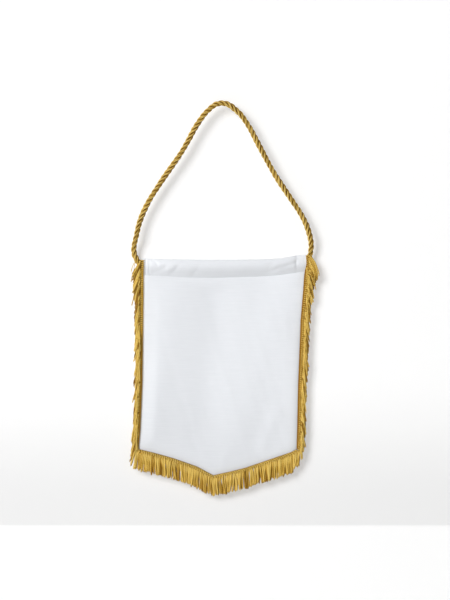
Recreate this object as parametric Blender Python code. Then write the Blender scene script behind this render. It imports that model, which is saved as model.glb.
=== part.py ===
"""A blank white pennant with gold fringe on its sides and pointed foot, hung by a twisted gold cord.

Metres, +Z up, the face towards -Y. The origin is the hang point: the underside of the cord at its peak.
The cloth, the four runs of fringe and the cord are separate closed bodies, a sewing gap apart.
"""

from math import cos, pi, radians, sin, tau

import bmesh
import bpy
import numpy as np

# What touches in the real thing is this far apart here
GAP = 0.0003

# Cloth: a panel that hangs in the plane y = 0, its top turned back into a rod sleeve
CLOTH_THICKNESS = 0.0012
LAP = 0.0032
PANEL_ROWS = 15
PLAIN_END = 0.008
SEAM_ROWS = (0.0055, 0.0030, 0.0006)
SEAM_ROLL = 0.0007
SEAM_ROLL_BELOW = 0.0035
SEAM_ROLL_SPREAD = 0.0030
FOLD_FADE = 0.020
SLEEVE_DEPTH = 0.0080
SLEEVE_FULLNESS = 0.48
FRONT_WALL_SHARES = (0.07, 0.20, 0.38, 0.58, 0.78, 0.93)
REAR_WALL_SHARES = (0.985, 0.94, 0.85, 0.72, 0.55, 0.38, 0.24, 0.13, 0.06)
EDGE_STEPS = (0.0, 0.004, 0.009, 0.018)
LEFT_STATIONS = 9
RIGHT_STATIONS = 10

# Fringe: a flat heading sewn over the cloth's edge, and two layers of strands that grow from it
HEADING_WIDTH = 0.0042
HEADING_THICKNESS = 0.0020
STRAND_LENGTH = 0.0210
STRAND_WIDTH = 0.0015
LAYER_GAP = 0.0003
ROOT_FROM = 0.06
ROOT_TO = 0.20
SIDE_PAIRS = 38
FOOT_PAIRS = 22
LEFT_TOP = -0.1962
RIGHT_TOP = -0.1900
CORNER_ZONE = 0.05
SLOW_RAGGED, SLOW_WAVE = 0.035, 0.9
QUICK_RAGGED, QUICK_WAVE = 0.030, 2.6

# Cord: three strands laid up, one turn of each in a lay
CORD_RADIUS = 0.0026
CORD_LOBES = 3
CORD_VALLEY = 0.66
LOBE_SIDE = radians(24.0)
CORD_LAY = 0.018
STEPS_PER_LAY = 8
SPLINE_STEPS = 12


def table(columns, rows):
    """Rows of numbers as an array with named columns."""
    return np.array(rows, dtype=[(name, float) for name in columns])


# The line on which the heading is sewn, down each side of the cloth
SIDES = table(
    ("height", "left", "right"),
    [
        (-0.4368, -0.1053, 0.0945),
        (-0.4120, -0.1029, 0.0953),
        (-0.3550, -0.1005, 0.0965),
        (-0.3240, -0.0999, 0.0978),
        (-0.2730, -0.0993, 0.0997),
        (-0.2350, -0.0989, 0.1029),
        (-0.2170, -0.0988, 0.1041),
        (-0.2055, -0.0985, 0.1060),
        (-0.1940, -0.0984, 0.1048),
    ],
)

# The same line along the pointed foot, from the left corner over the tip to the right corner
TIP_ACROSS = -0.0110
FOOT = table(
    ("across", "height"),
    [
        (-0.1053, -0.4368),
        (-0.0867, -0.4412),
        (-0.0612, -0.4484),
        (-0.0320, -0.4586),
        (TIP_ACROSS, -0.4698),
        (0.0109, -0.4651),
        (0.0292, -0.4605),
        (0.0605, -0.4498),
        (0.0870, -0.4408),
        (0.0945, -0.4368),
    ],
)

# The rod sleeve: its top fold, its seam, and how far its front wall bulges
SLEEVE = table(
    ("across", "top", "seam", "bulge"),
    [
        (-0.102, -0.1953, -0.2156, 0.0),
        (-0.094, -0.1955, -0.2159, 0.0002),
        (-0.080, -0.1961, -0.2165, 0.0017),
        (-0.040, -0.1969, -0.2190, 0.0025),
        (-0.009, -0.1972, -0.2193, 0.0026),
        (0.023, -0.1970, -0.2184, 0.0025),
        (0.048, -0.1966, -0.2177, 0.0025),
        (0.074, -0.1953, -0.2158, 0.0023),
        (0.090, -0.1925, -0.2134, 0.0018),
        (0.095, -0.1913, -0.2126, 0.0004),
        (0.099, -0.1907, -0.2120, 0.0),
        (0.109, -0.1902, -0.2104, 0.0),
    ],
)

# The panel's soft folds, from upper to lower end: how wide each is, and how far it stands forward
FOLDS = table(
    ("upper_across", "upper_height", "lower_across", "lower_height", "spread", "forward"),
    [
        (-0.060, -0.228, -0.094, -0.400, 0.026, 0.0018),
        (-0.003, -0.228, -0.041, -0.412, 0.024, -0.0016),
        (0.067, -0.228, 0.017, -0.400, 0.026, 0.0020),
        (0.080, -0.300, 0.070, -0.410, 0.016, -0.0010),
        (0.067, -0.393, 0.051, -0.435, 0.009, 0.0009),
        (0.005, -0.425, -0.010, -0.463, 0.007, 0.0008),
    ],
)

# How far the strands lean outward from plumb along each run of fringe, in degrees
LEANS = {
    "left": table(
        ("share", "lean"),
        [(0.0, 30.0), (0.10, 22.0), (0.25, 17.5), (0.90, 17.5), (1.0, 22.0)],
    ),
    "bottom_left": table(
        ("share", "lean"),
        [(0.0, 26.0), (0.05, 18.0), (0.13, 8.0), (0.30, 0.0), (1.0, 0.0)],
    ),
    "bottom_right": table(
        ("share", "lean"),
        [(0.0, 0.0), (0.70, 0.0), (0.87, 8.0), (0.95, 17.0), (1.0, 25.0)],
    ),
    "right": table(
        ("share", "lean"),
        [(0.0, 36.0), (0.12, 30.0), (0.22, 20.0), (0.32, 17.5), (0.90, 17.5), (1.0, 22.0)],
    ),
}

# How a strand comes round from its root's direction to the way it hangs
STRAND_BEND = table(
    ("share", "turned", "width"),
    [
        (0.06, 0.30, 1.0),
        (0.20, 1.0, 1.0),
        (1.00, 1.0, 0.75),
    ],
)

# The cord's middle line from its left end over the peak to its right end
CORD_ROUTE = [
    (-0.1049, 0.0020, -0.2000),
    (-0.1072, 0.0020, -0.1962),
    (-0.1105, 0.0020, -0.1900),
    (-0.1120, 0.0019, -0.1825),
    (-0.1110, 0.0019, -0.1750),
    (-0.1089, 0.0018, -0.1661),
    (-0.1054, 0.0017, -0.1509),
    (-0.0997, 0.0016, -0.1356),
    (-0.0921, 0.0014, -0.1204),
    (-0.0826, 0.0013, -0.1052),
    (-0.0724, 0.0011, -0.0899),
    (-0.0616, 0.0009, -0.0747),
    (-0.0512, 0.0007, -0.0594),
    (-0.0425, 0.0005, -0.0442),
    (-0.0343, 0.0003, -0.0290),
    (-0.0240, 0.0002, -0.0137),
    (-0.0171, 0.0001, -0.0061),
    (-0.0089, 0.0000, 0.0005),
    (0.0000, 0.0000, 0.0026),
    (0.0089, 0.0000, 0.0005),
    (0.0175, 0.0001, -0.0061),
    (0.0252, 0.0002, -0.0137),
    (0.0354, 0.0003, -0.0290),
    (0.0434, 0.0005, -0.0442),
    (0.0514, 0.0007, -0.0594),
    (0.0596, 0.0009, -0.0747),
    (0.0683, 0.0011, -0.0899),
    (0.0783, 0.0013, -0.1052),
    (0.0885, 0.0014, -0.1204),
    (0.0987, 0.0016, -0.1356),
    (0.1067, 0.0017, -0.1509),
    (0.1116, 0.0018, -0.1661),
    (0.1133, 0.0019, -0.1775),
    (0.1126, 0.0020, -0.1860),
    (0.1112, 0.0020, -0.1940),
]


def read(rows, column, at, along="across"):
    """A table's column at a place along another of its columns."""
    return np.interp(at, rows[along], rows[column])


def smooth(value):
    """A soft step: 0 below 0, 1 above 1, level at both ends."""
    share = np.clip(value, 0.0, 1.0)
    return share * share * (3.0 - 2.0 * share)


def drape(across, height):
    """How far the panel stands forward of its plane at one point: its folds and the roll below the seam."""
    below_seam = read(SLEEVE, "seam", across) - height
    if below_seam <= 0.0:
        return 0.0
    from_left = across - read(SIDES, "left", height, "height")
    from_right = read(SIDES, "right", height, "height") - across
    from_foot = height - read(FOOT, "height", across)
    forward = 0.0
    for fold in FOLDS:
        start = np.array((fold["upper_across"], fold["upper_height"]))
        run = np.array((fold["lower_across"], fold["lower_height"])) - start
        here = np.array((across, height)) - start
        share = np.clip(here @ run / (run @ run), 0.0, 1.0)
        apart = np.linalg.norm(here - share * run)
        forward += fold["forward"] * np.exp(-((apart / fold["spread"]) ** 2))
    roll = SEAM_ROLL * np.exp(-(((below_seam - SEAM_ROLL_BELOW) / SEAM_ROLL_SPREAD) ** 2))
    side = min(from_left, from_right)
    fade = smooth(min(side, from_foot, below_seam) / FOLD_FADE)
    return forward * fade + roll * smooth(side / FOLD_FADE)


def section(across):
    """The cloth's section at one place across its width, as front and rear (depth, height) points.

    The pairs of points climb the panel and the sleeve's front wall, turn over the top fold and come down
    the rear wall, which ends on the panel's rear just below the seam. The last value is the index of the
    pair where the rear wall ends.
    """
    half = CLOTH_THICKNESS / 2.0
    at_sleeve = widen(across, SIDES["height"][-1])
    seam = read(SLEEVE, "seam", at_sleeve)
    bulge = read(SLEEVE, "bulge", at_sleeve)
    rise = read(SLEEVE, "top", at_sleeve) - half - seam
    foot = read(FOOT, "height", across) - LAP
    rows = [*np.linspace(foot, seam - PLAIN_END, PANEL_ROWS), *(seam - drop for drop in SEAM_ROWS)]
    middle = [(0.0, height) for height in rows]
    for share in FRONT_WALL_SHARES:
        middle.append((-bulge * sin(pi * share), seam + share * rise))
    middle.append((0.0, seam + rise))
    for share in REAR_WALL_SHARES:
        middle.append((SLEEVE_DEPTH * sin(pi * share) ** SLEEVE_FULLNESS, seam + share * rise))
    middle = np.array(middle)
    along = np.gradient(middle, axis=0)
    along[: len(rows)] = (0.0, 1.0)
    along /= np.linalg.norm(along, axis=1)[:, None]
    to_front = np.column_stack((-along[:, 1], along[:, 0]))
    return middle + half * to_front, middle - half * to_front, len(rows) - 1


def station_places():
    """Places across the width, from edge to edge, closer together at the edges and with one on the tip."""
    left = FOOT["across"][0] - LAP
    right = FOOT["across"][-1] + LAP
    from_left = [left + step for step in EDGE_STEPS]
    to_right = [right - step for step in reversed(EDGE_STEPS)]
    to_tip = np.linspace(from_left[-1], TIP_ACROSS, LEFT_STATIONS)[1:]
    from_tip = np.linspace(TIP_ACROSS, to_right[0], RIGHT_STATIONS)[1:-1]
    return [*from_left, *to_tip, *from_tip, *to_right]


def widen(across, height):
    """A station's place at one height, once the outline's slant and narrowing are taken in."""
    low = FOOT["across"][0] - LAP
    high = FOOT["across"][-1] + LAP
    left = read(SIDES, "left", height, "height") - LAP
    right = read(SIDES, "right", height, "height") + LAP
    return left + (across - low) / (high - low) * (right - left)


def join_loops(mesh, here, there):
    """A band of quads between two closed loops of vertices of the same count."""
    for k in range(len(here)):
        after = (k + 1) % len(here)
        mesh.faces.new((here[k], there[k], there[after], here[after]))


def make_cloth():
    """Panel and sleeve in one: a P-shaped section lofted across the width, the sleeve open at both ends."""
    mesh = bmesh.new()
    stations = []
    for across in station_places():
        front, rear, seam = section(across)
        pair = []
        for points in (front, rear):
            places = [(widen(across, height), depth, height) for depth, height in points]
            pair.append([mesh.verts.new((x, depth - drape(x, z), z)) for x, depth, z in places])
        stations.append(pair)
    for (front, rear), (next_front, next_rear) in zip(stations, stations[1:], strict=False):
        join_loops(mesh, front + rear[seam::-1], next_front + next_rear[seam::-1])
        join_loops(mesh, next_rear[seam + 1 :], rear[seam + 1 :])
    for front, rear in (stations[0], stations[-1]):
        for k in range(len(front) - 1):
            mesh.faces.new((front[k], front[k + 1], rear[k + 1], rear[k]))
        mesh.faces.new((front[-1], rear[seam], rear[seam + 1], rear[-1]))
    return finish_mesh("cloth", mesh, "Cloth white")


def sewing_line(run):
    """The sewing line of one run of fringe as (across, height) points, in the order of its strands."""
    if run in ("left", "right"):
        top = LEFT_TOP if run == "left" else RIGHT_TOP
        heights = np.array([top, *(h for h in SIDES["height"][::-1] if h < top)])
        return np.column_stack((read(SIDES, run, heights, "height"), heights))
    tip = int(np.argmin(FOOT["height"]))
    rows = FOOT[: tip + 1] if run == "bottom_left" else FOOT[tip:]
    return np.column_stack((rows["across"], rows["height"]))


def unit(vector):
    """A vector of length 1."""
    return vector / np.linalg.norm(vector)


def outward(run):
    """The direction in the cloth's plane from one run's sewing line to its strands."""
    line = sewing_line(run)
    along = unit(line[-1] - line[0])
    square = np.array((along[1], -along[0]))
    return -square if run == "right" else square


def mitre(run, neighbour):
    """The step from a heading's inner corner to its outer corner, where two runs meet."""
    both = outward(run) + outward(neighbour)
    return both * HEADING_WIDTH / (both @ outward(run))


def heading_edges(run, pairs):
    """A heading's inner and outer points at both ends of the run and of each strand's root.

    Each pair's first root is a front strand's and its second a rear strand's.
    """
    before, after = {
        "left": (None, "bottom_left"),
        "bottom_left": ("left", "bottom_right"),
        "bottom_right": ("bottom_left", "right"),
        "right": (None, "bottom_right"),
    }[run]
    square = HEADING_WIDTH * outward(run)
    first = mitre(run, before) if before else square
    last = mitre(run, after)
    starts = np.arange(2 * pairs) / 2.0
    roots = np.sort(np.concatenate((starts + ROOT_FROM, starts + ROOT_TO))) / pairs
    shares = np.concatenate(([0.0], roots, [1.0]))
    line = sewing_line(run)
    lengths = np.concatenate(([0.0], np.cumsum(np.linalg.norm(np.diff(line, axis=0), axis=1))))
    along = (GAP if before else 0.0) + shares * (lengths[-1] - GAP - (GAP if before else 0.0))
    inner = np.column_stack([np.interp(along, lengths, line[:, axis]) for axis in (0, 1)])
    knots = (0.0, CORNER_ZONE, 1.0 - CORNER_ZONE, 1.0)
    steps = np.array((first, square, square, last))
    outer = inner + np.column_stack([np.interp(shares, knots, steps[:, axis]) for axis in (0, 1)])
    return inner, outer, shares


def grow_strand(mesh, root, run, lean, length, depths):
    """One strand of four sides: square out of its root, round its bend and down to its end.

    root is the hole in the heading's outer edge, two vertices at the front and two at the rear, and
    depths are the strand's own front and rear.
    """
    side = 1.0 if run.endswith("right") else -1.0
    start = outward(run)
    root_turn = np.arctan2(side * start[0], -start[1])
    place = np.mean([(vert.co.x, vert.co.z) for vert in root], axis=0)
    first = np.array((root[0].co.x, root[0].co.z))
    last = np.array((root[1].co.x, root[1].co.z))
    ring, reached, turn = root, 0.0, root_turn
    for bend in STRAND_BEND:
        next_turn = root_turn + bend["turned"] * (lean - root_turn)
        middle_turn = (turn + next_turn) / 2.0
        step = (bend["share"] - reached) * length
        place = place + step * np.array((side * sin(middle_turn), -cos(middle_turn)))
        across = np.array((cos(next_turn), side * sin(next_turn)))
        if across @ (last - first) < 0.0:
            across = -across
        half = across * STRAND_WIDTH * bend["width"] / 2.0
        ends = (place - half, place + half)
        front = [mesh.verts.new((x, depths[0], z)) for x, z in ends]
        rear = [mesh.verts.new((x, depths[1], z)) for x, z in reversed(ends)]
        new_ring = [*front, *rear]
        join_loops(mesh, ring, new_ring)
        ring, reached, turn = new_ring, bend["share"], next_turn
    mesh.faces.new(ring)


def make_fringe(run, pairs):
    """One run of fringe: a flat heading, and strands in two layers that take turns along its outer edge."""
    mesh = bmesh.new()
    inner, outer, shares = heading_edges(run, pairs)
    last = len(outer) - 1
    rear = -CLOTH_THICKNESS / 2.0 - GAP
    front = rear - HEADING_THICKNESS
    middle = (front + rear) / 2.0
    half_way = [mesh.verts.new((x, middle, z)) for x, z in outer]
    cells = [0, *range(5, last, 4), last]
    sides = []
    for depth, first_root in ((front, 1), (rear, 3)):
        holes = range(first_root, last, 4)
        kept = sorted({0, last, *holes, *(k + 1 for k in holes)})
        edge = {k: mesh.verts.new((outer[k][0], depth, outer[k][1])) for k in kept}
        line = [mesh.verts.new((inner[k][0], depth, inner[k][1])) for k in cells]
        bounds = [0, *holes[1:], last]
        for cell, (start, end) in enumerate(zip(bounds, bounds[1:], strict=False)):
            mesh.faces.new((*(edge[k] for k in kept if start <= k <= end), line[cell + 1], line[cell]))
        close_outer_edge(mesh, edge, half_way, holes)
        sides.append((edge, line))
    (near, near_line), (far, far_line) = sides
    for k in range(len(cells) - 1):
        mesh.faces.new((near_line[k], near_line[k + 1], far_line[k + 1], far_line[k]))
    mesh.faces.new((near[0], half_way[0], far[0], far_line[0], near_line[0]))
    mesh.faces.new((near[last], half_way[last], far[last], far_line[-1], near_line[-1]))
    layers = ((front, middle - LAYER_GAP / 2.0), (middle + LAYER_GAP / 2.0, rear))
    for strand in range(2 * pairs):
        at = 1 + 2 * strand
        upper, lower = (near, half_way) if strand % 2 == 0 else (half_way, far)
        root = [upper[at], upper[at + 1], lower[at + 1], lower[at]]
        slow = SLOW_RAGGED * sin(SLOW_WAVE * strand)
        quick = QUICK_RAGGED * sin(QUICK_WAVE * strand)
        lean = radians(read(LEANS[run], "lean", shares[at], "share"))
        grow_strand(mesh, root, run, lean, STRAND_LENGTH * (1.0 + slow + quick), layers[strand % 2])
    return finish_mesh(f"fringe_{run}", mesh, "Fringe gold")


def close_outer_edge(mesh, edge, half_way, holes):
    """Close one half of the heading's outer edge, from end to end but for the holes of its own strands."""
    start = 0
    for hole in (*holes, len(half_way) - 1):
        mesh.faces.new((edge[start], edge[hole], *half_way[start : hole + 1][::-1]))
        start = hole + 1


def finish_mesh(name, mesh, material):
    """Turn a bmesh's faces outward and put it into the pennant's collection as a named object."""
    bmesh.ops.recalc_face_normals(mesh, faces=mesh.faces)
    data = bpy.data.meshes.new(name)
    mesh.to_mesh(data)
    mesh.free()
    data.materials.append(MATERIALS[material])
    piece = bpy.data.objects.new(name, data)
    PENNANT.objects.link(piece)
    return piece


def smooth_line(points, steps):
    """A Catmull-Rom curve through the points, with so many steps between each two."""
    points = np.array(points)
    padded = np.vstack((2.0 * points[0] - points[1], points, 2.0 * points[-1] - points[-2]))
    t = np.linspace(0.0, 1.0, steps, endpoint=False)[:, None]
    spans = []
    for a, b, c, d in zip(padded, padded[1:], padded[2:], padded[3:], strict=False):
        cubic = 3.0 * (b - c) + d - a
        square = 2.0 * a - 5.0 * b + 4.0 * c - d
        spans.append(b + 0.5 * t * (c - a + t * (square + t * cubic)))
    return np.vstack((*spans, points[-1:]))


def even_steps(line, step):
    """Points along a line at an even step, as near the given one as fits, and their distances along it."""
    lengths = np.concatenate(([0.0], np.cumsum(np.linalg.norm(np.diff(line, axis=0), axis=1))))
    along = np.linspace(0.0, lengths[-1], round(lengths[-1] / step) + 1)
    return np.column_stack([np.interp(along, lengths, line[:, axis]) for axis in range(3)]), along


def cord_section():
    """The cord's section as a guide curve: three round lobes with valleys between them."""
    data = bpy.data.curves.new("cord_section", "CURVE")
    data.dimensions = "2D"
    spline = data.splines.new("POLY")
    spline.points.add(3 * CORD_LOBES - 1)
    for lobe in range(CORD_LOBES):
        middle = tau * lobe / CORD_LOBES
        corners = (
            (CORD_VALLEY, middle - pi / CORD_LOBES),
            (1.0, middle - LOBE_SIDE),
            (1.0, middle + LOBE_SIDE),
        )
        for corner, (share, angle) in enumerate(corners):
            radius = share * CORD_RADIUS
            spline.points[3 * lobe + corner].co = (radius * cos(angle), -radius * sin(angle), 0.0, 1.0)
    spline.use_cyclic_u = True
    guide = bpy.data.objects.new("cord_section", data)
    guide.hide_render = True
    guide.display_type = "WIRE"
    GUIDES.objects.link(guide)
    return guide


def make_cord():
    """The hanging cord: its lobed section carried along the route, turning once in every lay."""
    data = bpy.data.curves.new("cord", "CURVE")
    data.dimensions = "3D"
    data.twist_mode = "MINIMUM"
    data.bevel_mode = "OBJECT"
    data.bevel_object = cord_section()
    data.use_fill_caps = True
    line, along = even_steps(smooth_line(CORD_ROUTE, SPLINE_STEPS), CORD_LAY / STEPS_PER_LAY)
    spline = data.splines.new("POLY")
    spline.points.add(len(line) - 1)
    for point, place, distance in zip(spline.points, line, along, strict=True):
        point.co = (*place, 1.0)
        point.tilt = tau * distance / CORD_LAY
    data.materials.append(MATERIALS["Cord gold"])
    piece = bpy.data.objects.new("cord", data)
    PENNANT.objects.link(piece)
    return piece


def principled(name, colour, roughness, metallic):
    """A plain finish for one kind of piece."""
    material = bpy.data.materials.new(name)
    material.use_nodes = True
    shader = material.node_tree.nodes["Principled BSDF"]
    shader.inputs["Base Color"].default_value = (*colour, 1.0)
    shader.inputs["Roughness"].default_value = roughness
    shader.inputs["Metallic"].default_value = metallic
    return material


def new_collection(name):
    """A collection under the scene's own."""
    collection = bpy.data.collections.new(name)
    bpy.context.scene.collection.children.link(collection)
    return collection


for leftover in list(bpy.data.objects):
    bpy.data.objects.remove(leftover)

PENNANT = new_collection("Fringed pennant")
GUIDES = new_collection("Guides")
MATERIALS = {
    "Cloth white": principled("Cloth white", (0.82, 0.84, 0.87), 0.75, 0.0),
    "Fringe gold": principled("Fringe gold", (0.58, 0.36, 0.08), 0.50, 0.2),
    "Cord gold": principled("Cord gold", (0.55, 0.34, 0.08), 0.50, 0.2),
}

make_cloth()
make_fringe("left", SIDE_PAIRS)
make_fringe("bottom_left", FOOT_PAIRS)
make_fringe("bottom_right", FOOT_PAIRS)
make_fringe("right", SIDE_PAIRS)
make_cord()
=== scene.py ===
"""Looks for a blank white pennant with gold fringe, hung by a twisted gold cord.

Metres, +Z up, the face towards -Y. The origin is the hang point: the underside of the cord at its peak.
The cloth, the fringe and the cord lie where their CAD solids lie, and the stitching lies on the cloth.
"""

import logging
from dataclasses import dataclass, field, fields, replace
from enum import Enum
from math import pi, radians, tau

import bpy
import numpy as np
from numpy.typing import NDArray
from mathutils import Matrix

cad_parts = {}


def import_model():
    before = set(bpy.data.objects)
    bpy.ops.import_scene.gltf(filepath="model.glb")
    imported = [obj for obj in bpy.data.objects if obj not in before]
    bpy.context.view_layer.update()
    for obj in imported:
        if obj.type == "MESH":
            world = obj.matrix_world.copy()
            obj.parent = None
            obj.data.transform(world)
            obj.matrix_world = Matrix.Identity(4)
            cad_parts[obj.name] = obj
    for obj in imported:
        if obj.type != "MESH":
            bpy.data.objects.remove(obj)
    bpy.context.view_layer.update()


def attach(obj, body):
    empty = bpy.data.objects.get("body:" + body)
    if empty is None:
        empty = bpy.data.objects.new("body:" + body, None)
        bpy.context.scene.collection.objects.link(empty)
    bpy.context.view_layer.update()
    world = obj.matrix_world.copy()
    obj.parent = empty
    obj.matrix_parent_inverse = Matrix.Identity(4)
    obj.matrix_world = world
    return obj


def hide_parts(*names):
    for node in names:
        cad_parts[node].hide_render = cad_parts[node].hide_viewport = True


Array = NDArray[np.float64]
Whole = NDArray[np.int64]
Values = Array | float
Pair = tuple[float, float]
Triple = tuple[float, float, float]
Socket = bpy.types.NodeSocket
Sockets = dict[str, Socket]
Node = bpy.types.Node
Tree = bpy.types.NodeTree
Material = bpy.types.Material
Piece = bpy.types.Object
LOG = logging.getLogger("pennant")
YARN_MAP = "yarn"
CLOTH_MAP = "weave"
TONE = "tone"
NODE_SPACING = 180.0


def table(columns: tuple[str, ...], rows: list[tuple[float, ...]]) -> NDArray:
    """Rows of numbers as an array with named columns."""
    return np.array(rows, dtype=[(name, float) for name in columns])


# The line on which the heading is sewn, down each side of the cloth
SIDES = table(("height", "left", "right"), [
    (-0.4368, -0.1053, 0.0945), (-0.4120, -0.1029, 0.0953), (-0.3550, -0.1005, 0.0965),
    (-0.3240, -0.0999, 0.0978), (-0.2730, -0.0993, 0.0997), (-0.2350, -0.0989, 0.1029),
    (-0.2170, -0.0988, 0.1041), (-0.2055, -0.0985, 0.1060), (-0.1940, -0.0984, 0.1048),
])

# The same line along the pointed foot, from the left corner over the tip to the right corner
FOOT = table(("across", "height"), [
    (-0.1053, -0.4368), (-0.0867, -0.4412), (-0.0612, -0.4484), (-0.0320, -0.4586), (-0.0110, -0.4698),
    (0.0109, -0.4651), (0.0292, -0.4605), (0.0605, -0.4498), (0.0870, -0.4408), (0.0945, -0.4368),
])

# The rod sleeve: its top fold, its seam, and how far its front wall bulges
SLEEVE = table(("across", "top", "seam", "bulge"), [
    (-0.102, -0.1945, -0.2156, 0.0), (-0.094, -0.1946, -0.2159, 0.0008),
    (-0.080, -0.1951, -0.2165, 0.0024), (-0.040, -0.1959, -0.2190, 0.0034),
    (-0.009, -0.1962, -0.2193, 0.0042), (0.023, -0.1960, -0.2184, 0.0050),
    (0.048, -0.1956, -0.2177, 0.0055), (0.074, -0.1943, -0.2158, 0.0056),
    (0.088, -0.1919, -0.2137, 0.0050), (0.0935, -0.1907, -0.2128, 0.0040),
    (0.0962, -0.1902, -0.2123, 0.0031), (0.100, -0.1898, -0.2119, 0.0025),
    (0.109, -0.1894, -0.2104, 0.0014),
])

# The front wall's side view: how far it has come forward on the way up from the seam to the top fold
WALL_PROFILE = table(("share", "reach"), [
    (0.00, 0.00), (0.10, 0.18), (0.20, 0.36), (0.30, 0.53), (0.40, 0.68), (0.50, 0.81),
    (0.60, 0.91), (0.70, 0.97), (0.80, 1.00), (0.90, 0.97), (0.96, 0.88), (1.00, 0.40),
])

# The panel's soft folds, from upper to lower end: how wide each is, and how far it stands forward
FOLD = ("upper_across", "upper_height", "lower_across", "lower_height", "spread", "forward")
PANEL_FOLDS = table(FOLD, [
    (-0.060, -0.228, -0.094, -0.400, 0.026, 0.0019), (-0.084, -0.345, -0.094, -0.420, 0.020, 0.0009),
    (-0.003, -0.228, -0.024, -0.412, 0.024, -0.0020), (0.060, -0.280, 0.028, -0.405, 0.024, 0.0016),
    (0.086, -0.225, 0.086, -0.330, 0.020, 0.0004), (0.067, -0.393, 0.051, -0.435, 0.009, 0.0008),
    (0.008, -0.440, -0.004, -0.468, 0.008, 0.0006),
])

# Short creases in the sleeve's front wall
SLEEVE_CREASES = table(FOLD, [
    (-0.0972, -0.1962, -0.0972, -0.2150, 0.0009, -0.0009),
    (-0.0922, -0.1962, -0.0925, -0.2150, 0.0011, -0.0006),
    (-0.0875, -0.1962, -0.0825, -0.2015, 0.0020, -0.0009),
    (-0.0724, -0.2062, -0.0869, -0.2125, 0.0028, -0.0008),
    (-0.0624, -0.2042, -0.0700, -0.2118, 0.0032, 0.0007),
    (-0.0557, -0.2042, -0.0633, -0.2118, 0.0026, -0.0004),
    (0.0115, -0.1960, 0.0090, -0.1985, 0.0012, -0.0006),
    (0.0940, -0.2000, 0.0600, -0.2110, 0.0024, -0.0008),
    (0.0936, -0.1925, 0.0944, -0.2060, 0.0010, -0.0004),
])

# Upright lines of painted shadow where the sleeve's ends are turned in: their place, width and darkness
SLEEVE_LINES = table(("across", "spread", "dark"), [
    (-0.0974, 0.0008, 1.50), (-0.0920, 0.0008, 0.45), (0.0932, 0.0016, 0.30),
])

# The panel's puckers at the seam, at the sides and at the foot: how far they reach in and their longest wave
PUCKERS = table(("spread", "wave", "seed"), [(0.007, 0.021, 21), (0.005, 0.020, 33), (0.005, 0.020, 41)])

# The heading's section, over its face from the inner edge and back behind: how far out each corner lies,
# how much of the ribs shows there and how far forward it stands, all as shares
SECTION = table(("out", "rise", "lift"), [
    (0.0, 0.0, 0.10), (0.06, 0.7, 0.22), (0.22, 1.0, 0.38), (0.38, 1.0, 0.64), (0.60, 1.0, 0.90),
    (0.88, 0.7, 1.0), (1.0, 0.2, 0.8), (1.0, 0.0, 0.0), (0.5, 0.0, 0.0), (0.0, 0.0, 0.0),
])

# How the strands hang along each run: their lean outward from plumb in degrees, the share of their length
# in which they come round to it, and the painted light on them at the root and at the end, painted shade
# where below 0
LEAN = ("share", "lean", "bend", "root", "end")
LEANS = {
    "left": table(LEAN, [
        (0.00, 27.0, 0.14, -0.10, 0.10), (0.08, 22.0, 0.20, 0.05, 0.15), (0.16, 13.0, 0.26, 0.12, 0.18),
        (0.24, 8.0, 0.30, 0.12, 0.18), (0.90, 8.0, 0.30, 0.12, 0.18), (1.00, 13.0, 0.24, -0.05, 0.05),
    ]),
    "bottom_left": table(LEAN, [
        (0.00, 9.0, 0.24, 0.10, -0.05), (0.04, 6.0, 0.24, 0.18, -0.10), (0.12, 3.0, 0.24, 0.24, -0.14),
        (0.25, 0.0, 0.24, 0.24, -0.14), (1.00, 0.0, 0.24, 0.24, -0.14),
    ]),
    "bottom_right": table(LEAN, [
        (0.00, 0.0, 0.24, 0.24, -0.14), (0.80, 0.0, 0.24, 0.24, -0.14), (0.92, -1.0, 0.24, 0.18, -0.12),
        (1.00, -3.0, 0.24, 0.12, -0.08),
    ]),
    "right": table(LEAN, [
        (0.00, 22.0, 0.46, 0.10, -0.10), (0.06, 14.0, 0.52, 0.10, -0.10), (0.11, 11.0, 0.40, 0.12, -0.12),
        (0.16, 8.0, 0.27, 0.15, -0.15), (0.90, 7.0, 0.26, 0.15, -0.15), (1.00, 7.0, 0.24, 0.10, -0.10),
    ]),
}

# Bundles of loose yarn at the top corners: start, middle and end, how many yarns, how thick and how spread
BUNDLES = table(("across", "height", "middle_across", "middle_height", "end_across", "end_height", "depth",
                 "count", "radius", "spread"), [
    (-0.1072, -0.1962, -0.1062, -0.2035, -0.1092, -0.2130, -0.0030, 7, 0.00052, 0.0008),
    (-0.1085, -0.1975, -0.1135, -0.2020, -0.1141, -0.2110, -0.0012, 3, 0.00030, 0.0007),
    (-0.1110, -0.2080, -0.1135, -0.2150, -0.1156, -0.2245, -0.0026, 3, 0.00050, 0.0004),
    (-0.1095, -0.2350, -0.1120, -0.2440, -0.1146, -0.2545, -0.0026, 2, 0.00050, 0.0004),
    (0.1075, -0.2060, 0.1100, -0.2180, 0.1092, -0.2330, -0.0024, 9, 0.00065, 0.0011),
    (0.1085, -0.1900, 0.1185, -0.1970, 0.1205, -0.2190, -0.0040, 9, 0.00070, 0.0012),
    (0.1100, -0.2020, 0.1190, -0.2110, 0.1215, -0.2215, -0.0036, 3, 0.00045, 0.0005),
    (0.1080, -0.2180, 0.1150, -0.2310, 0.1168, -0.2450, -0.0034, 3, 0.00055, 0.0005),
])

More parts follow.
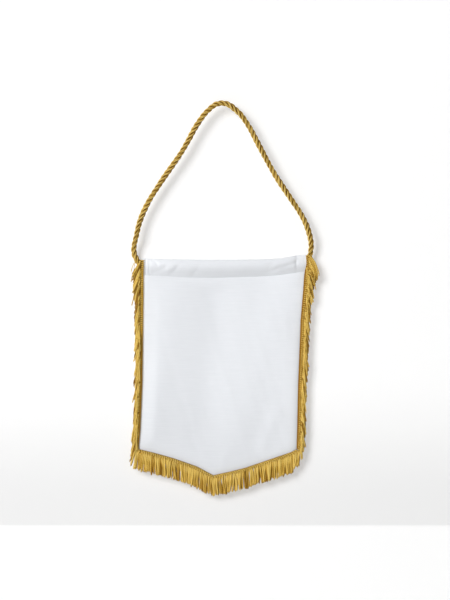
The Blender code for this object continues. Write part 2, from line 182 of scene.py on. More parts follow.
# The cord's middle line from its left end over the peak to its right end. Its first three points lie up to
# 1.1 mm further out than in the CAD
CORD_ROUTE = [
    (-0.1060, 0.0020, -0.2000), (-0.1083, 0.0020, -0.1962), (-0.1111, 0.0020, -0.1900),
    (-0.1120, 0.0019, -0.1825), (-0.1110, 0.0019, -0.1750), (-0.1089, 0.0018, -0.1661),
    (-0.1054, 0.0017, -0.1509), (-0.0997, 0.0016, -0.1356), (-0.0921, 0.0014, -0.1204),
    (-0.0826, 0.0013, -0.1052), (-0.0724, 0.0011, -0.0899), (-0.0616, 0.0009, -0.0747),
    (-0.0512, 0.0007, -0.0594), (-0.0425, 0.0005, -0.0442), (-0.0343, 0.0003, -0.0290),
    (-0.0240, 0.0002, -0.0137), (-0.0171, 0.0001, -0.0061), (-0.0089, 0.0000, 0.0005),
    (0.0000, 0.0000, 0.0026), (0.0089, 0.0000, 0.0005), (0.0175, 0.0001, -0.0061),
    (0.0252, 0.0002, -0.0137), (0.0354, 0.0003, -0.0290), (0.0434, 0.0005, -0.0442),
    (0.0514, 0.0007, -0.0594), (0.0596, 0.0009, -0.0747), (0.0683, 0.0011, -0.0899),
    (0.0783, 0.0013, -0.1052), (0.0885, 0.0014, -0.1204), (0.0987, 0.0016, -0.1356),
    (0.1067, 0.0017, -0.1509), (0.1116, 0.0018, -0.1661), (0.1133, 0.0019, -0.1775),
    (0.1126, 0.0020, -0.1860), (0.1112, 0.0020, -0.1940),
]


class Run(Enum):
    """The four straight runs of fringe, named for where they hang."""

    LEFT = "left"
    BOTTOM_LEFT = "bottom_left"
    BOTTOM_RIGHT = "bottom_right"
    RIGHT = "right"

    @property
    def side(self) -> float:
        """The sign of X towards which the run's strands lean."""
        return 1.0 if self in (Run.RIGHT, Run.BOTTOM_RIGHT) else -1.0

    @property
    def on_foot(self) -> bool:
        """Whether the run lies along the pointed foot."""
        return self in (Run.BOTTOM_LEFT, Run.BOTTOM_RIGHT)


class Slot(Enum):
    """The record's material slots."""

    CLOTH = "cloth"
    FRINGE = "fringe"
    CORD = "cord"


class Draw(Enum):
    """What a layer of strands draws its unevenness for, each from a source of its own."""

    LINES = 0
    TONES = 5
    LOCKS = 70
    RAISED = 80
    DAPPLE = 90


# Where the two side runs begin, and which runs each one meets at its first and last strand
RUN_TOPS = {Run.LEFT: -0.1962, Run.RIGHT: -0.1900}
NEIGHBOURS = {
    Run.LEFT: (None, Run.BOTTOM_LEFT),
    Run.BOTTOM_LEFT: (Run.LEFT, Run.BOTTOM_RIGHT),
    Run.BOTTOM_RIGHT: (Run.BOTTOM_LEFT, Run.RIGHT),
    Run.RIGHT: (None, Run.BOTTOM_RIGHT),
}


def read(rows: NDArray, column: str, at: Array, along: str = "across") -> Array:
    """A table's column at places along another of its columns, straight between the rows."""
    return np.interp(at, rows[along], rows[column])


def between(at: Array, marks: Array, rows: Array) -> Array:
    """Rows of numbers at places among the rows' marks, straight between the rows."""
    return np.stack([np.interp(at, marks, column) for column in np.transpose(rows)], -1)


def ease(at: Array, start: float = 0.0, length: float = 1.0) -> Array:
    """A soft step: 3 t squared less 2 t cubed, with t = (at - start) / length held between 0 and 1."""
    t = np.clip((at - start) / length, 0.0, 1.0)
    return t * t * (3.0 - 2.0 * t)


def unit(vectors: Array) -> Array:
    """Vectors made 1 long, along the last axis."""
    return vectors / np.maximum(np.linalg.norm(vectors, axis=-1, keepdims=True), 1e-12)


def distances(lines: Array) -> Array:
    """The distance from each line's first point to each of its points, for lines as (..., step, axis)."""
    gaps = np.linalg.norm(np.diff(lines, axis=-2), axis=-1)
    return np.concatenate((np.zeros((*gaps.shape[:-1], 1)), np.cumsum(gaps, axis=-1)), axis=-1)


def smooth_line(points: list[Triple], steps: int) -> Array:
    """A Catmull-Rom curve: each span is a cubic that leaves each point along its neighbours' chord.

    Args:
        points: the points that it passes through.
        steps: how many steps it takes between each two.

    Returns:
        The curve's points, as rows.
    """
    given = np.array(points)
    padded = np.vstack((2.0 * given[0] - given[1], given, 2.0 * given[-1] - given[-2]))
    a, b, c, d = (padded[k : len(padded) - 3 + k, None] for k in range(4))
    t = np.linspace(0.0, 1.0, steps, endpoint=False)[None, :, None]
    cubic = 3.0 * (b - c) + d - a
    square = 2.0 * a - 5.0 * b + 4.0 * c - d
    spans = b + 0.5 * t * (c - a + t * (square + t * cubic))
    return np.vstack((spans.reshape(-1, 3), given[-1:]))


def even_line(line: Array, step: float) -> tuple[Array, Array]:
    """Points along a line at an even step, as near the given one as fits.

    Args:
        line: the line's points, as rows.
        step: the wanted step in metres.

    Returns:
        The new points, and their distances along the line.
    """
    lengths = distances(line)
    along = np.linspace(0.0, lengths[-1], max(2, round(lengths[-1] / step) + 1))
    return between(along, lengths, line), along


def waves(at: Array, seed: int, longest: float, shortest: float) -> Array:
    """Slow unevenness: a sum of seven sines whose lengths run from longest to shortest, with seeded phases.

    Args:
        at: the places, in metres.
        seed: which unevenness.
        longest: the longest wave.
        shortest: the shortest wave.

    Returns:
        One value for each place, about -1 to 1.
    """
    count, spread = 7, 1.6
    phases = np.random.default_rng(seed).uniform(0.0, tau, count)
    lengths = np.geomspace(longest, shortest, count)
    heights = np.sqrt(lengths / longest)
    sines = np.sin(tau * at[..., None] / lengths + phases) * heights
    return sines.sum(axis=-1) / heights.sum() * spread


def fold_field(across: Array, height: Array, folds: NDArray) -> Array:
    """How far a table of folds stands forward: each a Gaussian of the distance from the fold's own line.

    Args:
        across: places along X.
        height: their heights.
        folds: rows with both ends of each line, its spread and its forward reach.

    Returns:
        The reach towards the viewer at each place.
    """
    forward = np.zeros(np.broadcast(across, height).shape)
    for fold in folds:
        start = np.array((fold["upper_across"], fold["upper_height"]))
        run = np.array((fold["lower_across"], fold["lower_height"])) - start
        share = ((across - start[0]) * run[0] + (height - start[1]) * run[1]) / (run @ run)
        share = np.clip(share, 0.0, 1.0)
        apart = np.hypot(across - start[0] - share * run[0], height - start[1] - share * run[1])
        forward += fold["forward"] * np.exp(-((apart / fold["spread"]) ** 2))
    return forward


def margins(across: Array, height: Array) -> tuple[Array, Array, Array]:
    """How far places lie inside the sewing line at the left, at the right and at the foot."""
    left, right = (read(SIDES, side, height, "height") for side in ("left", "right"))
    return across - left, right - across, height - read(FOOT, "height", across)


def sewing_line(run: Run) -> Array:
    """The line on which one run of fringe is sewn.

    Args:
        run: the run.

    Returns:
        (across, height) points in the order of the run's strands.
    """
    if run.on_foot:
        tip = int(np.argmin(FOOT["height"]))
        rows = FOOT[: tip + 1] if run is Run.BOTTOM_LEFT else FOOT[tip:]
        return np.column_stack((rows["across"], rows["height"]))
    top = RUN_TOPS[run]
    heights = np.array([top, *(h for h in SIDES["height"][::-1] if h < top)])
    return np.column_stack((read(SIDES, run.value, heights, "height"), heights))


def outward(run: Run) -> Array:
    """The way in the cloth's plane from a run's sewing line to its strands, square to its chord.

    Args:
        run: the run.

    Returns:
        The direction, as (across, height).
    """
    line = sewing_line(run)
    along = unit(line[-1] - line[0])
    square = np.array((along[1], -along[0]))
    return -square if run is Run.RIGHT else square


def mitre(run: Run, neighbour: Run | None) -> Array:
    """The step out from the sewing line for each metre of width, along the bisector where two runs meet."""
    both = outward(run) + outward(neighbour or run)
    return both / (both @ outward(run))


@dataclass
class Shell:
    """A closed surface: its points, faces of four or three corners, and each corner's place on the map."""

    points: Array
    quads: Whole
    quad_map: Array
    triangles: Whole = field(default_factory=lambda: np.zeros((0, 3), np.int64))
    triangle_map: Array = field(default_factory=lambda: np.zeros((0, 3, 2)))
    tone: Array = field(default_factory=lambda: np.zeros(0))

    @staticmethod
    def joined(shells: "list[Shell]") -> "Shell":
        """One shell of several: their arrays laid end to end, with the faces' numbers moved on.

        Args:
            shells: the shells, at least one.

        Returns:
            The joined shell.
        """
        starts = np.cumsum([0, *(len(shell.points) for shell in shells[:-1])])
        moved = [replace(shell, quads=shell.quads + start, triangles=shell.triangles + start)
                 for shell, start in zip(shells, starts, strict=True)]
        names = [part.name for part in fields(Shell)]
        return Shell(*(np.concatenate([getattr(shell, name) for shell in moved]) for name in names))

    def volume(self) -> float:
        """A sixth of the sum of each triangle's triple product, above 0 where the faces point outwards."""
        a, b, c = np.vstack((self.quads[:, (0, 1, 2)], self.quads[:, (0, 2, 3)], self.triangles)).T
        return float(np.einsum("ij,ij->", self.points[a], np.cross(self.points[b], self.points[c])) / 6.0)

    def to_object(self, name: str, uv_name: str, material: Material) -> Piece:
        """The shell as a smooth mesh object at the origin, its faces outwards.

        Args:
            name: the object's name.
            uv_name: the name of its UV map.
            material: its finish.

        Returns:
            The object, linked into the scene.
        """
        turn = slice(None, None, -1 if self.volume() < 0.0 else 1)
        corners = np.concatenate((self.quads[:, turn].ravel(), self.triangles[:, turn].ravel()))
        places = np.concatenate((self.quad_map[:, turn].ravel(), self.triangle_map[:, turn].ravel()))
        sizes = np.concatenate((np.full(len(self.quads), 4), np.full(len(self.triangles), 3)))
        mesh = bpy.data.meshes.new(name)
        mesh.vertices.add(len(self.points))
        mesh.vertices.foreach_set("co", self.points.astype(np.float32).ravel())
        mesh.loops.add(len(corners))
        mesh.loops.foreach_set("vertex_index", corners.astype(np.int32))
        mesh.polygons.add(len(sizes))
        mesh.polygons.foreach_set("loop_start", (np.cumsum(sizes) - sizes).astype(np.int32))
        mesh.polygons.foreach_set("use_smooth", np.ones(len(sizes), bool))
        mesh.uv_layers.new(name=uv_name).data.foreach_set("uv", places.astype(np.float32))
        mesh.attributes.new(TONE, "FLOAT", "POINT").data.foreach_set("value", self.tone.astype(np.float32))
        mesh.update(calc_edges=True)
        mesh.validate()
        mesh.materials.append(material)
        return placed(name, mesh)


def placed(name: str, data: bpy.types.ID) -> Piece:
    """A mesh, a camera or a light as an object at the origin.

    Args:
        name: the object's name.
        data: what it shows.

    Returns:
        The object, linked into the scene.
    """
    piece = bpy.data.objects.new(name, data)
    bpy.context.scene.collection.objects.link(piece)
    return piece


def frames_along(lines: Array) -> tuple[Array, Array]:
    """Two directions square to each line: Y crossed with the way along, and the way along crossed with that.

    Args:
        lines: lines that never run along Y, as (line, step, axis).

    Returns:
        The sideways and the depth directions at each step.
    """
    ahead = unit(np.gradient(lines, axis=1))
    sideways = unit(np.cross(np.array((0.0, 1.0, 0.0)), ahead))
    return sideways, np.cross(ahead, sideways)


def bars(rings: Array, lines: Array, tone: Array) -> Shell:
    """Bars with closed ends: rings of points joined by quads, and a fan to the middle line at each end.

    Args:
        rings: the rings, as (bar, step, corner, axis).
        lines: the bars' middle lines, as (bar, step, axis).
        tone: each corner's tone, as (bar, step, corner). An end's middle takes its ring's first one.

    Returns:
        All bars as one shell.
    """
    count, steps, sides = rings.shape[:3]
    index = np.arange(steps * sides).reshape(steps, sides)
    after = np.roll(index, -1, axis=1)
    quads = np.stack((index[:-1], after[:-1], after[1:], index[1:]), -1).reshape(-1, 4)
    poles = np.repeat((steps * sides, steps * sides + 1), sides)
    fans = np.stack((poles, np.append(after[0], index[-1]), np.append(index[0], after[-1])), -1)
    starts = np.arange(count)[:, None, None] * (steps * sides + 2)
    lengths = distances(lines)
    low, high = (np.repeat(part, sides, axis=1) for part in (lengths[:, :-1], lengths[:, 1:]))
    around = np.arange(sides) / sides
    left = np.broadcast_to(np.tile(around, steps - 1), low.shape)
    right = left + 1.0 / sides
    fan_map = np.zeros((count, 2 * sides, 3, 2))
    fan_map[:, sides:, :, 0] = lengths[:, -1:, None]
    fan_map[..., 1] = np.tile(around, 2)[:, None]
    return Shell(
        np.concatenate((rings.reshape(count, -1, 3), lines[:, (0, -1)]), axis=1).reshape(-1, 3),
        (quads + starts).reshape(-1, 4),
        np.stack((low, left, low, right, high, right, high, left), -1).reshape(-1, 4, 2),
        (fans + starts).reshape(-1, 3),
        fan_map.reshape(-1, 3, 2),
        np.concatenate((tone.reshape(count, -1), tone[:, (0, -1), 0]), axis=1).ravel(),
    )


@dataclass(frozen=True)
class Section:
    """A yarn's section: its corners, its lobes and their height, and its depth as a share of its width."""

    sides: int
    lobes: int = 0
    relief: float = 0.0
    flat: float = 1.0

    def angles(self) -> Array:
        """The angle of each corner round the section."""
        return tau * np.arange(self.sides) / self.sides

    def carry(self, lines: Array, radii: Array, turns: Values = 0.0, tone: Values = 1.0) -> Shell:
        """Tubes with closed ends: the section carried along each line.

        At angle a it has the radius r (1 + relief cos(lobes a)), turned by the given turns, and is pressed
        to its share of depth after it is turned.

        Args:
            lines: the middle lines, as (line, step, axis).
            radii: the radius at each step.
            turns: how far the section has turned at each step, in radians.
            tone: the tone at each corner, as (line, step, corner) or what spreads to it.

        Returns:
            All tubes as one shell.
        """
        sideways, depth = (way[:, :, None] for way in frames_along(lines))
        radii, turns = (np.broadcast_to(given, lines.shape[:2])[..., None] for given in (radii, turns))
        reach = radii * (1.0 + self.relief * np.cos(self.lobes * self.angles()))
        turned = self.angles() + turns
        wide = (reach * np.cos(turned))[..., None]
        deep = (self.flat * reach * np.sin(turned))[..., None]
        rings = lines[:, :, None] + wide * sideways + deep * depth
        return bars(rings, lines, np.broadcast_to(tone, rings.shape[:3]))


def cells_of(index: Whole) -> Whole:
    """The four-cornered cells of a grid of point numbers."""
    return np.stack((index[:-1, :-1], index[:-1, 1:], index[1:, 1:], index[1:, :-1]), -1).reshape(-1, 4)


def thicken(middle: Array, thickness: float, places: Array, tone: Array) -> Shell:
    """A closed sheet: the middle surface moved half the thickness along its normal to both sides, and a rim.

    Args:
        middle: the middle surface, as (row, column, axis).
        thickness: the sheet's thickness.
        places: each point's place on the UV map, as (row, column, 2).
        tone: each point's tone, as (row, column).

    Returns:
        The sheet.
    """
    normal = unit(np.cross(np.gradient(middle, axis=1), np.gradient(middle, axis=0)))
    faces = (middle + normal * thickness / 2.0, middle - normal * thickness / 2.0)
    back = tone.size
    index = np.arange(back).reshape(tone.shape)
    rim = np.concatenate((index[0, :-1], index[:-1, -1], index[-1, :0:-1], index[:0:-1, 0]))
    after = np.roll(rim, -1)
    rim_quads = np.stack((after, rim, rim + back, after + back), -1)
    quads = np.vstack((cells_of(index), cells_of(index)[:, ::-1] + back, rim_quads))
    both = np.tile(places.reshape(-1, 2), (2, 1))
    return Shell(np.concatenate(faces).reshape(-1, 3), quads, both[quads], tone=np.tile(tone.ravel(), 2))


class Nodes:
    """A short way to lay out a node tree from left to right."""

    def __init__(self, tree: Tree) -> None:
        """Keeps the tree that the nodes go into."""
        self.tree = tree

    def feed(self, socket: Socket, value: object) -> None:
        """Links an input to a socket, or sets it to a plain value.

        Args:
            socket: the input.
            value: the socket or the value.
        """
        if isinstance(value, Socket):
            self.tree.links.new(value, socket)
        else:
            socket.default_value = value

    def add(self, kind: str, settings: dict[str, object] | None = None, **inputs: object) -> Node:
        """A new node, its settings made and its inputs fed.

        Args:
            kind: the node's type.
            settings: the node's own settings, by name.
            inputs: a value or a socket for each input, named with _ for a blank or numbered after an i.

        Returns:
            The node.
        """
        node = self.tree.nodes.new(kind)
        node.location = (NODE_SPACING * len(self.tree.nodes), 0.0)
        for name, value in (settings or {}).items():
            setattr(node, name, value)
        for name, value in inputs.items():
            self.feed(node.inputs[int(name[1:]) if name[1:].isdigit() else name.replace("_", " ")], value)
        return node

    def math(self, operation: str, *values: object) -> Socket:
        """The result of one sum on values or sockets."""
        inputs = {f"i{k}": value for k, value in enumerate(values)}
        return self.add("ShaderNodeMath", {"operation": operation}, **inputs).outputs[0]

    def times(self, colour: object, factor: object) -> Socket:
        """A colour times a factor."""
        return self.add("ShaderNodeVectorMath", {"operation": "MULTIPLY"}, i0=colour, i1=factor).outputs[0]

    def blend(self, share: object, low: object, high: object) -> Socket:
        """A colour between two others, by a share from 0 to 1."""
        return self.add("ShaderNodeMix", {"data_type": "RGBA"}, i0=share, i6=low, i7=high).outputs[2]

    def noise(self, place: Socket, detail: float, roughness: float, scale: object = 1.0) -> Socket:
        """Noise at a place."""
        inputs = {"Vector": place, "Scale": scale, "Detail": detail, "Roughness": roughness}
        return self.add("ShaderNodeTexNoise", **inputs).outputs["Fac"]


def new_group(name: str, inputs: tuple[str, ...], outputs: tuple[str, ...]) -> tuple[Nodes, Sockets, Sockets]:
    """An empty shader node group, whose sockets are numbers but for the one named Vector.

    Args:
        name: the group's name.
        inputs: the names of its inputs.
        outputs: the names of its outputs.

    Returns:
        Its nodes, and its inputs and outputs as sockets by name.
    """
    tree = bpy.data.node_groups.new(name, "ShaderNodeTree")
    for way, labels in (("INPUT", inputs), ("OUTPUT", outputs)):
        for label in labels:
            kind = "NodeSocketVector" if label == "Vector" else "NodeSocketFloat"
            tree.interface.new_socket(label, in_out=way, socket_type=kind)
    nodes = Nodes(tree)
    given = {socket.name: socket for socket in nodes.add("NodeGroupInput").outputs}
    made = {socket.name: socket for socket in nodes.add("NodeGroupOutput").inputs}
    return nodes, given, made


def spun_fibre_group() -> Tree:
    """A group for spun yarn: slanting plies, and fine fibres along them.

    The ply wave is sin(2 pi (around * plies + along * twist)), and the fibres are noise stretched along
    the yarn. Height mixes the two, and Shade is the strand's tone with painted light on the height's
    crests and painted shade in its hollows.

    Returns:
        The group.
    """
    fineness, fibres_round, fibres_apart = 220.0, 5.0, 40.0
    ply_share, fibre_share = 0.7, 0.3
    # relief and level paint light on the plies' crests and shade in their hollows
    tone_share, relief, level = 0.85, 0.76, -0.32
    nodes, given, made = new_group("Spun fibre", ("Vector", "Tone", "Plies", "Twist"), ("Height", "Shade"))
    along, around = nodes.add("ShaderNodeSeparateXYZ", Vector=given["Vector"]).outputs[:2]
    turn = nodes.math("ADD", nodes.math("MULTIPLY", around, given["Plies"]),
                      nodes.math("MULTIPLY", along, given["Twist"]))
    ply = nodes.math("MULTIPLY_ADD", nodes.math("SINE", nodes.math("MULTIPLY", turn, tau)), 0.5, 0.5)
    stretched = nodes.add("ShaderNodeCombineXYZ", X=nodes.math("MULTIPLY", along, fineness),
                          Y=nodes.math("MULTIPLY", turn, fibres_round),
                          Z=nodes.math("MULTIPLY", given["Tone"], fibres_apart))
    fibre = nodes.noise(stretched.outputs[0], 3.0, 0.6)
    height = nodes.math("MULTIPLY_ADD", ply, ply_share, nodes.math("MULTIPLY", fibre, fibre_share))
    lit = nodes.math("MULTIPLY_ADD", height, relief, level)
    nodes.feed(made["Height"], height)
    nodes.feed(made["Shade"], nodes.math("MULTIPLY_ADD", given["Tone"], tone_share, lit))
    return nodes.tree


def weave_group() -> Tree:
    """A group for plain woven cloth: warp crossed with weft, and slow ribs where the weft is thicker.

    The weave is sin(2 pi u / pitch) times sin(2 pi v / pitch), and the ribs are noise that is long across
    the cloth and short along it. Height mixes both, and Ribs gives the second alone.

    Returns:
        The group.
    """
    rib_ends = 36.0
    weave_share, rib_share = 0.35, 0.65
    nodes, given, made = new_group("Plain weave", ("Vector", "Pitch", "Rib"), ("Height", "Ribs"))
    across, along = nodes.add("ShaderNodeSeparateXYZ", Vector=given["Vector"]).outputs[:2]
    turn = nodes.math("DIVIDE", tau, given["Pitch"])
    warp, weft = (nodes.math("SINE", nodes.math("MULTIPLY", way, turn)) for way in (across, along))
    weave = nodes.math("MULTIPLY_ADD", nodes.math("MULTIPLY", warp, weft), 0.5, 0.5)
    stretched = nodes.add("ShaderNodeCombineXYZ", X=nodes.math("MULTIPLY", across, rib_ends),
                          Y=nodes.math("DIVIDE", along, given["Rib"]), Z=0.0)
    ribs = nodes.noise(stretched.outputs[0], 2.0, 0.55)
    nodes.feed(made["Height"], nodes.math("MULTIPLY_ADD", weave, weave_share,
                                          nodes.math("MULTIPLY", ribs, rib_share)))
    nodes.feed(made["Ribs"], ribs)
    return nodes.tree


def handling_group() -> Tree:
    """A group for use and dye: broad soft unevenness, as a factor for the colour and as a patch on its own.

    Returns:
        The group, whose Factor runs from 1 less the amount up to 1.
    """
    nodes, given, made = new_group("Handling", ("Vector", "Scale", "Amount"), ("Factor", "Patch"))
    patch = nodes.noise(given["Vector"], 4.0, 0.5, given["Scale"])
    nodes.feed(made["Factor"], nodes.math("SUBTRACT", 1.0, nodes.math("MULTIPLY", patch, given["Amount"])))
    nodes.feed(made["Patch"], patch)
    return nodes.tree


@dataclass(frozen=True)
class Groups:
    """The shader node groups that the finishes share."""

    fibre: Tree
    weave: Tree
    handling: Tree


def new_material(name: str) -> tuple[Material, Nodes, Node]:
    """An empty material with a Principled shader.

    Args:
        name: the material's name.

    Returns:
        The material, its nodes and the shader.
    """
    material = bpy.data.materials.new(name)
    material.use_nodes = True
    return material, Nodes(material.node_tree), material.node_tree.nodes["Principled BSDF"]


@dataclass(frozen=True)
class Fabric:
    """What the fabrics' finishes share: bump, roughness and how far it varies, sheen, and handling."""

    name: str
    depth: float
    bump: float
    roughness: float
    varied: float
    sheen: float
    sheen_roughness: float
    patches: float
    handled: float

    def sources(self, nodes: Nodes, groups: Groups, uv_name: str) -> tuple[Socket, Socket, Node]:
        """What the pattern follows.

        Args:
            nodes: the material's nodes.
            groups: the shared node groups.
            uv_name: the UV map's name.

        Returns:
            The place on the map, the tone, and the handling group's node.
        """
        place = nodes.add("ShaderNodeUVMap", {"uv_map": uv_name}).outputs[0]
        tone = nodes.add("ShaderNodeAttribute", {"attribute_name": TONE}).outputs["Fac"]
        where = nodes.add("ShaderNodeTexCoord").outputs["Object"]
        use = nodes.add("ShaderNodeGroup", {"node_tree": groups.handling}, Vector=where, Scale=self.patches,
                        Amount=self.handled)
        return place, tone, use

    def dress(self, nodes: Nodes, shader: Node, colour: Socket, uneven: Socket, height: Socket) -> None:
        """Feeds the shader.

        Args:
            nodes: the material's nodes.
            shader: the Principled shader.
            colour: the finished colour.
            uneven: what the roughness follows, from 0 to 1.
            height: the bump's height, from 0 to 1.
        """
        rough = nodes.math("MULTIPLY_ADD", uneven, self.varied, self.roughness - self.varied / 2.0)
        bump = nodes.add("ShaderNodeBump", Strength=self.bump, Distance=self.depth, Height=height)
        inputs = {"Base Color": colour, "Roughness": rough, "Normal": bump.outputs[0],
                  "Sheen Weight": self.sheen, "Sheen Roughness": self.sheen_roughness}
        for name, value in inputs.items():
            nodes.feed(shader.inputs[name], value)


@dataclass(frozen=True)
class SpunGold(Fabric):
    """Gold rayon yarn: its three tones, its plies and its twist."""

    dark: Triple
    middle: Triple
    light: Triple
    plies: float
    twist: float

    def build(self, groups: Groups) -> Material:
        """The finish as a material that follows the yarn map.

        Args:
            groups: the shared node groups.

        Returns:
            The material.
        """
        material, nodes, shader = new_material(self.name)
        place, tone, use = self.sources(nodes, groups, YARN_MAP)
        fibre = nodes.add("ShaderNodeGroup", {"node_tree": groups.fibre}, Vector=place, Tone=tone,
                          Plies=self.plies, Twist=self.twist).outputs
        # Shade holds the yarn's painted light and shade, and picks among the dark, middle and light colours.
        below = nodes.math("MULTIPLY", fibre["Shade"], 2.0)
        lower = nodes.blend(below, (*self.dark, 1.0), (*self.middle, 1.0))
        upper = nodes.math("MAXIMUM", nodes.math("MULTIPLY_ADD", fibre["Shade"], 2.0, -1.0), 0.0)
        colour = nodes.times(nodes.blend(upper, lower, (*self.light, 1.0)), use.outputs["Factor"])
        self.dress(nodes, shader, colour, use.outputs["Patch"], fibre["Height"])
        shader.inputs["Sheen Tint"].default_value = (1.0, 0.85, 0.5, 1.0)
        shader.inputs["Specular IOR Level"].default_value = 0.22
        shader.inputs["Specular Tint"].default_value = (1.0, 0.82, 0.48, 1.0)
        return material


@dataclass(frozen=True)
class WovenWhite(Fabric):
    """White woven cloth: its colour, that between its ribs, the factor on its colour at tone 0 where its
    painted shade is deepest, its weave and rib pitch.
    """

    colour: Triple
    shade: Triple
    double: float
    pitch: float
    rib: float

    def build(self, groups: Groups) -> Material:
        """The finish as a material that follows the cloth's own map.

        Args:
            groups: the shared node groups.

        Returns:
            The material.
        """
        material, nodes, shader = new_material(self.name)
        place, tone, use = self.sources(nodes, groups, CLOTH_MAP)
        weave = nodes.add("ShaderNodeGroup", {"node_tree": groups.weave}, Vector=place, Pitch=self.pitch,
                          Rib=self.rib).outputs
        colour = nodes.blend(weave["Ribs"], (*self.shade, 1.0), (*self.colour, 1.0))
        # The tone attribute holds painted light and shade: tone 1 leaves the colour as it is, tone 0 darkens
        # it most.
        lit = nodes.math("MULTIPLY_ADD", tone, 1.0 - self.double, self.double)
        dulled = nodes.times(colour, nodes.math("MULTIPLY", lit, use.outputs["Factor"]))
        self.dress(nodes, shader, dulled, weave["Height"], weave["Height"])
        return material


@dataclass(frozen=True)
class ClothTones:
    """The cloth's painted light and shade. Each pair says where one begins to change and over what length it
    does.

    Pairs ending in down are depths below the hang point. The sleeve's front wall has painted shade low
    down, and painted light higher up and as a painted glow at its two ends.
    """

    # painted light up the sleeve's front wall, more at its left, and a painted glow at each end
    wall: Pair = (0.25, 0.60)
    wall_level: float = 0.75
    wall_left: float = 0.30
    wall_left_until: Pair = (0.030, 0.030)
    left_glow: float = 0.50
    left_glow_until: Pair = (-0.094, 0.060)
    left_glow_up: Pair = (0.4, 0.3)
    right_glow: float = 1.10
    right_glow_from: Pair = (0.0940, 0.002)
    right_glow_up: Pair = (0.1, 0.4)
    # painted shade beside the right edge and the foot, deeper lower down
    edge_shade: float = 1.10
    edge_spread: float = 0.0028
    side_shade: float = 0.2
    side_shade_grows: float = 1.6
    side_shade_down: Pair = (0.230, 0.09)
    # painted light towards the right of the cloth, and painted shade low down
    through: float = 0.32
    through_from: Pair = (0.030, 0.035)
    low_shade: float = 0.50
    low_shade_down: Pair = (0.330, 0.13)

    def on_wall(self, across: Array, climb: Array) -> Array:
        """The sleeve's front wall: painted light in soft steps up the wall and across it and a painted glow
        at both ends, less a Gaussian of painted shadow along each turned end.

        Args:
            across: places along X.
            climb: their shares of the way up the wall.

        Returns:
            The tone at each place.
        """
        left = 1.0 - ease(across, *self.wall_left_until)
        tone = ease(climb, *self.wall) * (self.wall_level + self.wall_left * left)
        left_up = 0.5 + 0.5 * ease(climb, *self.left_glow_up)
        tone += self.left_glow * left_up * (1.0 - ease(across, *self.left_glow_until))
        tone += self.right_glow * ease(across, *self.right_glow_from) * ease(climb, *self.right_glow_up)
        for line in SLEEVE_LINES:
            tone -= line["dark"] * np.exp(-(((across - line["across"]) / line["spread"]) ** 2))
        return tone

    def everywhere(self, across: Array, height: Array) -> Array:
        """What is added all over: painted shade exp(-d / spread) at a distance d from the right edge and the
        foot.

        The cloth also has painted light towards the right and painted shade low down.

        Args:
            across: places along X.
            height: their heights.

        Returns:
            The amount to add at each place.
        """
        _, from_right, from_foot = margins(across, height)
        deeper = self.side_shade + self.side_shade_grows * ease(-height, *self.side_shade_down)
        shade = [amount * np.exp(-np.maximum(edge, 0.0) / self.edge_spread)
                 for edge, amount in ((from_right, deeper), (from_foot, 1.0))]
        added = self.through * ease(across, *self.through_from)
        return added - self.edge_shade * sum(shade) - self.low_shade * ease(-height, *self.low_shade_down)


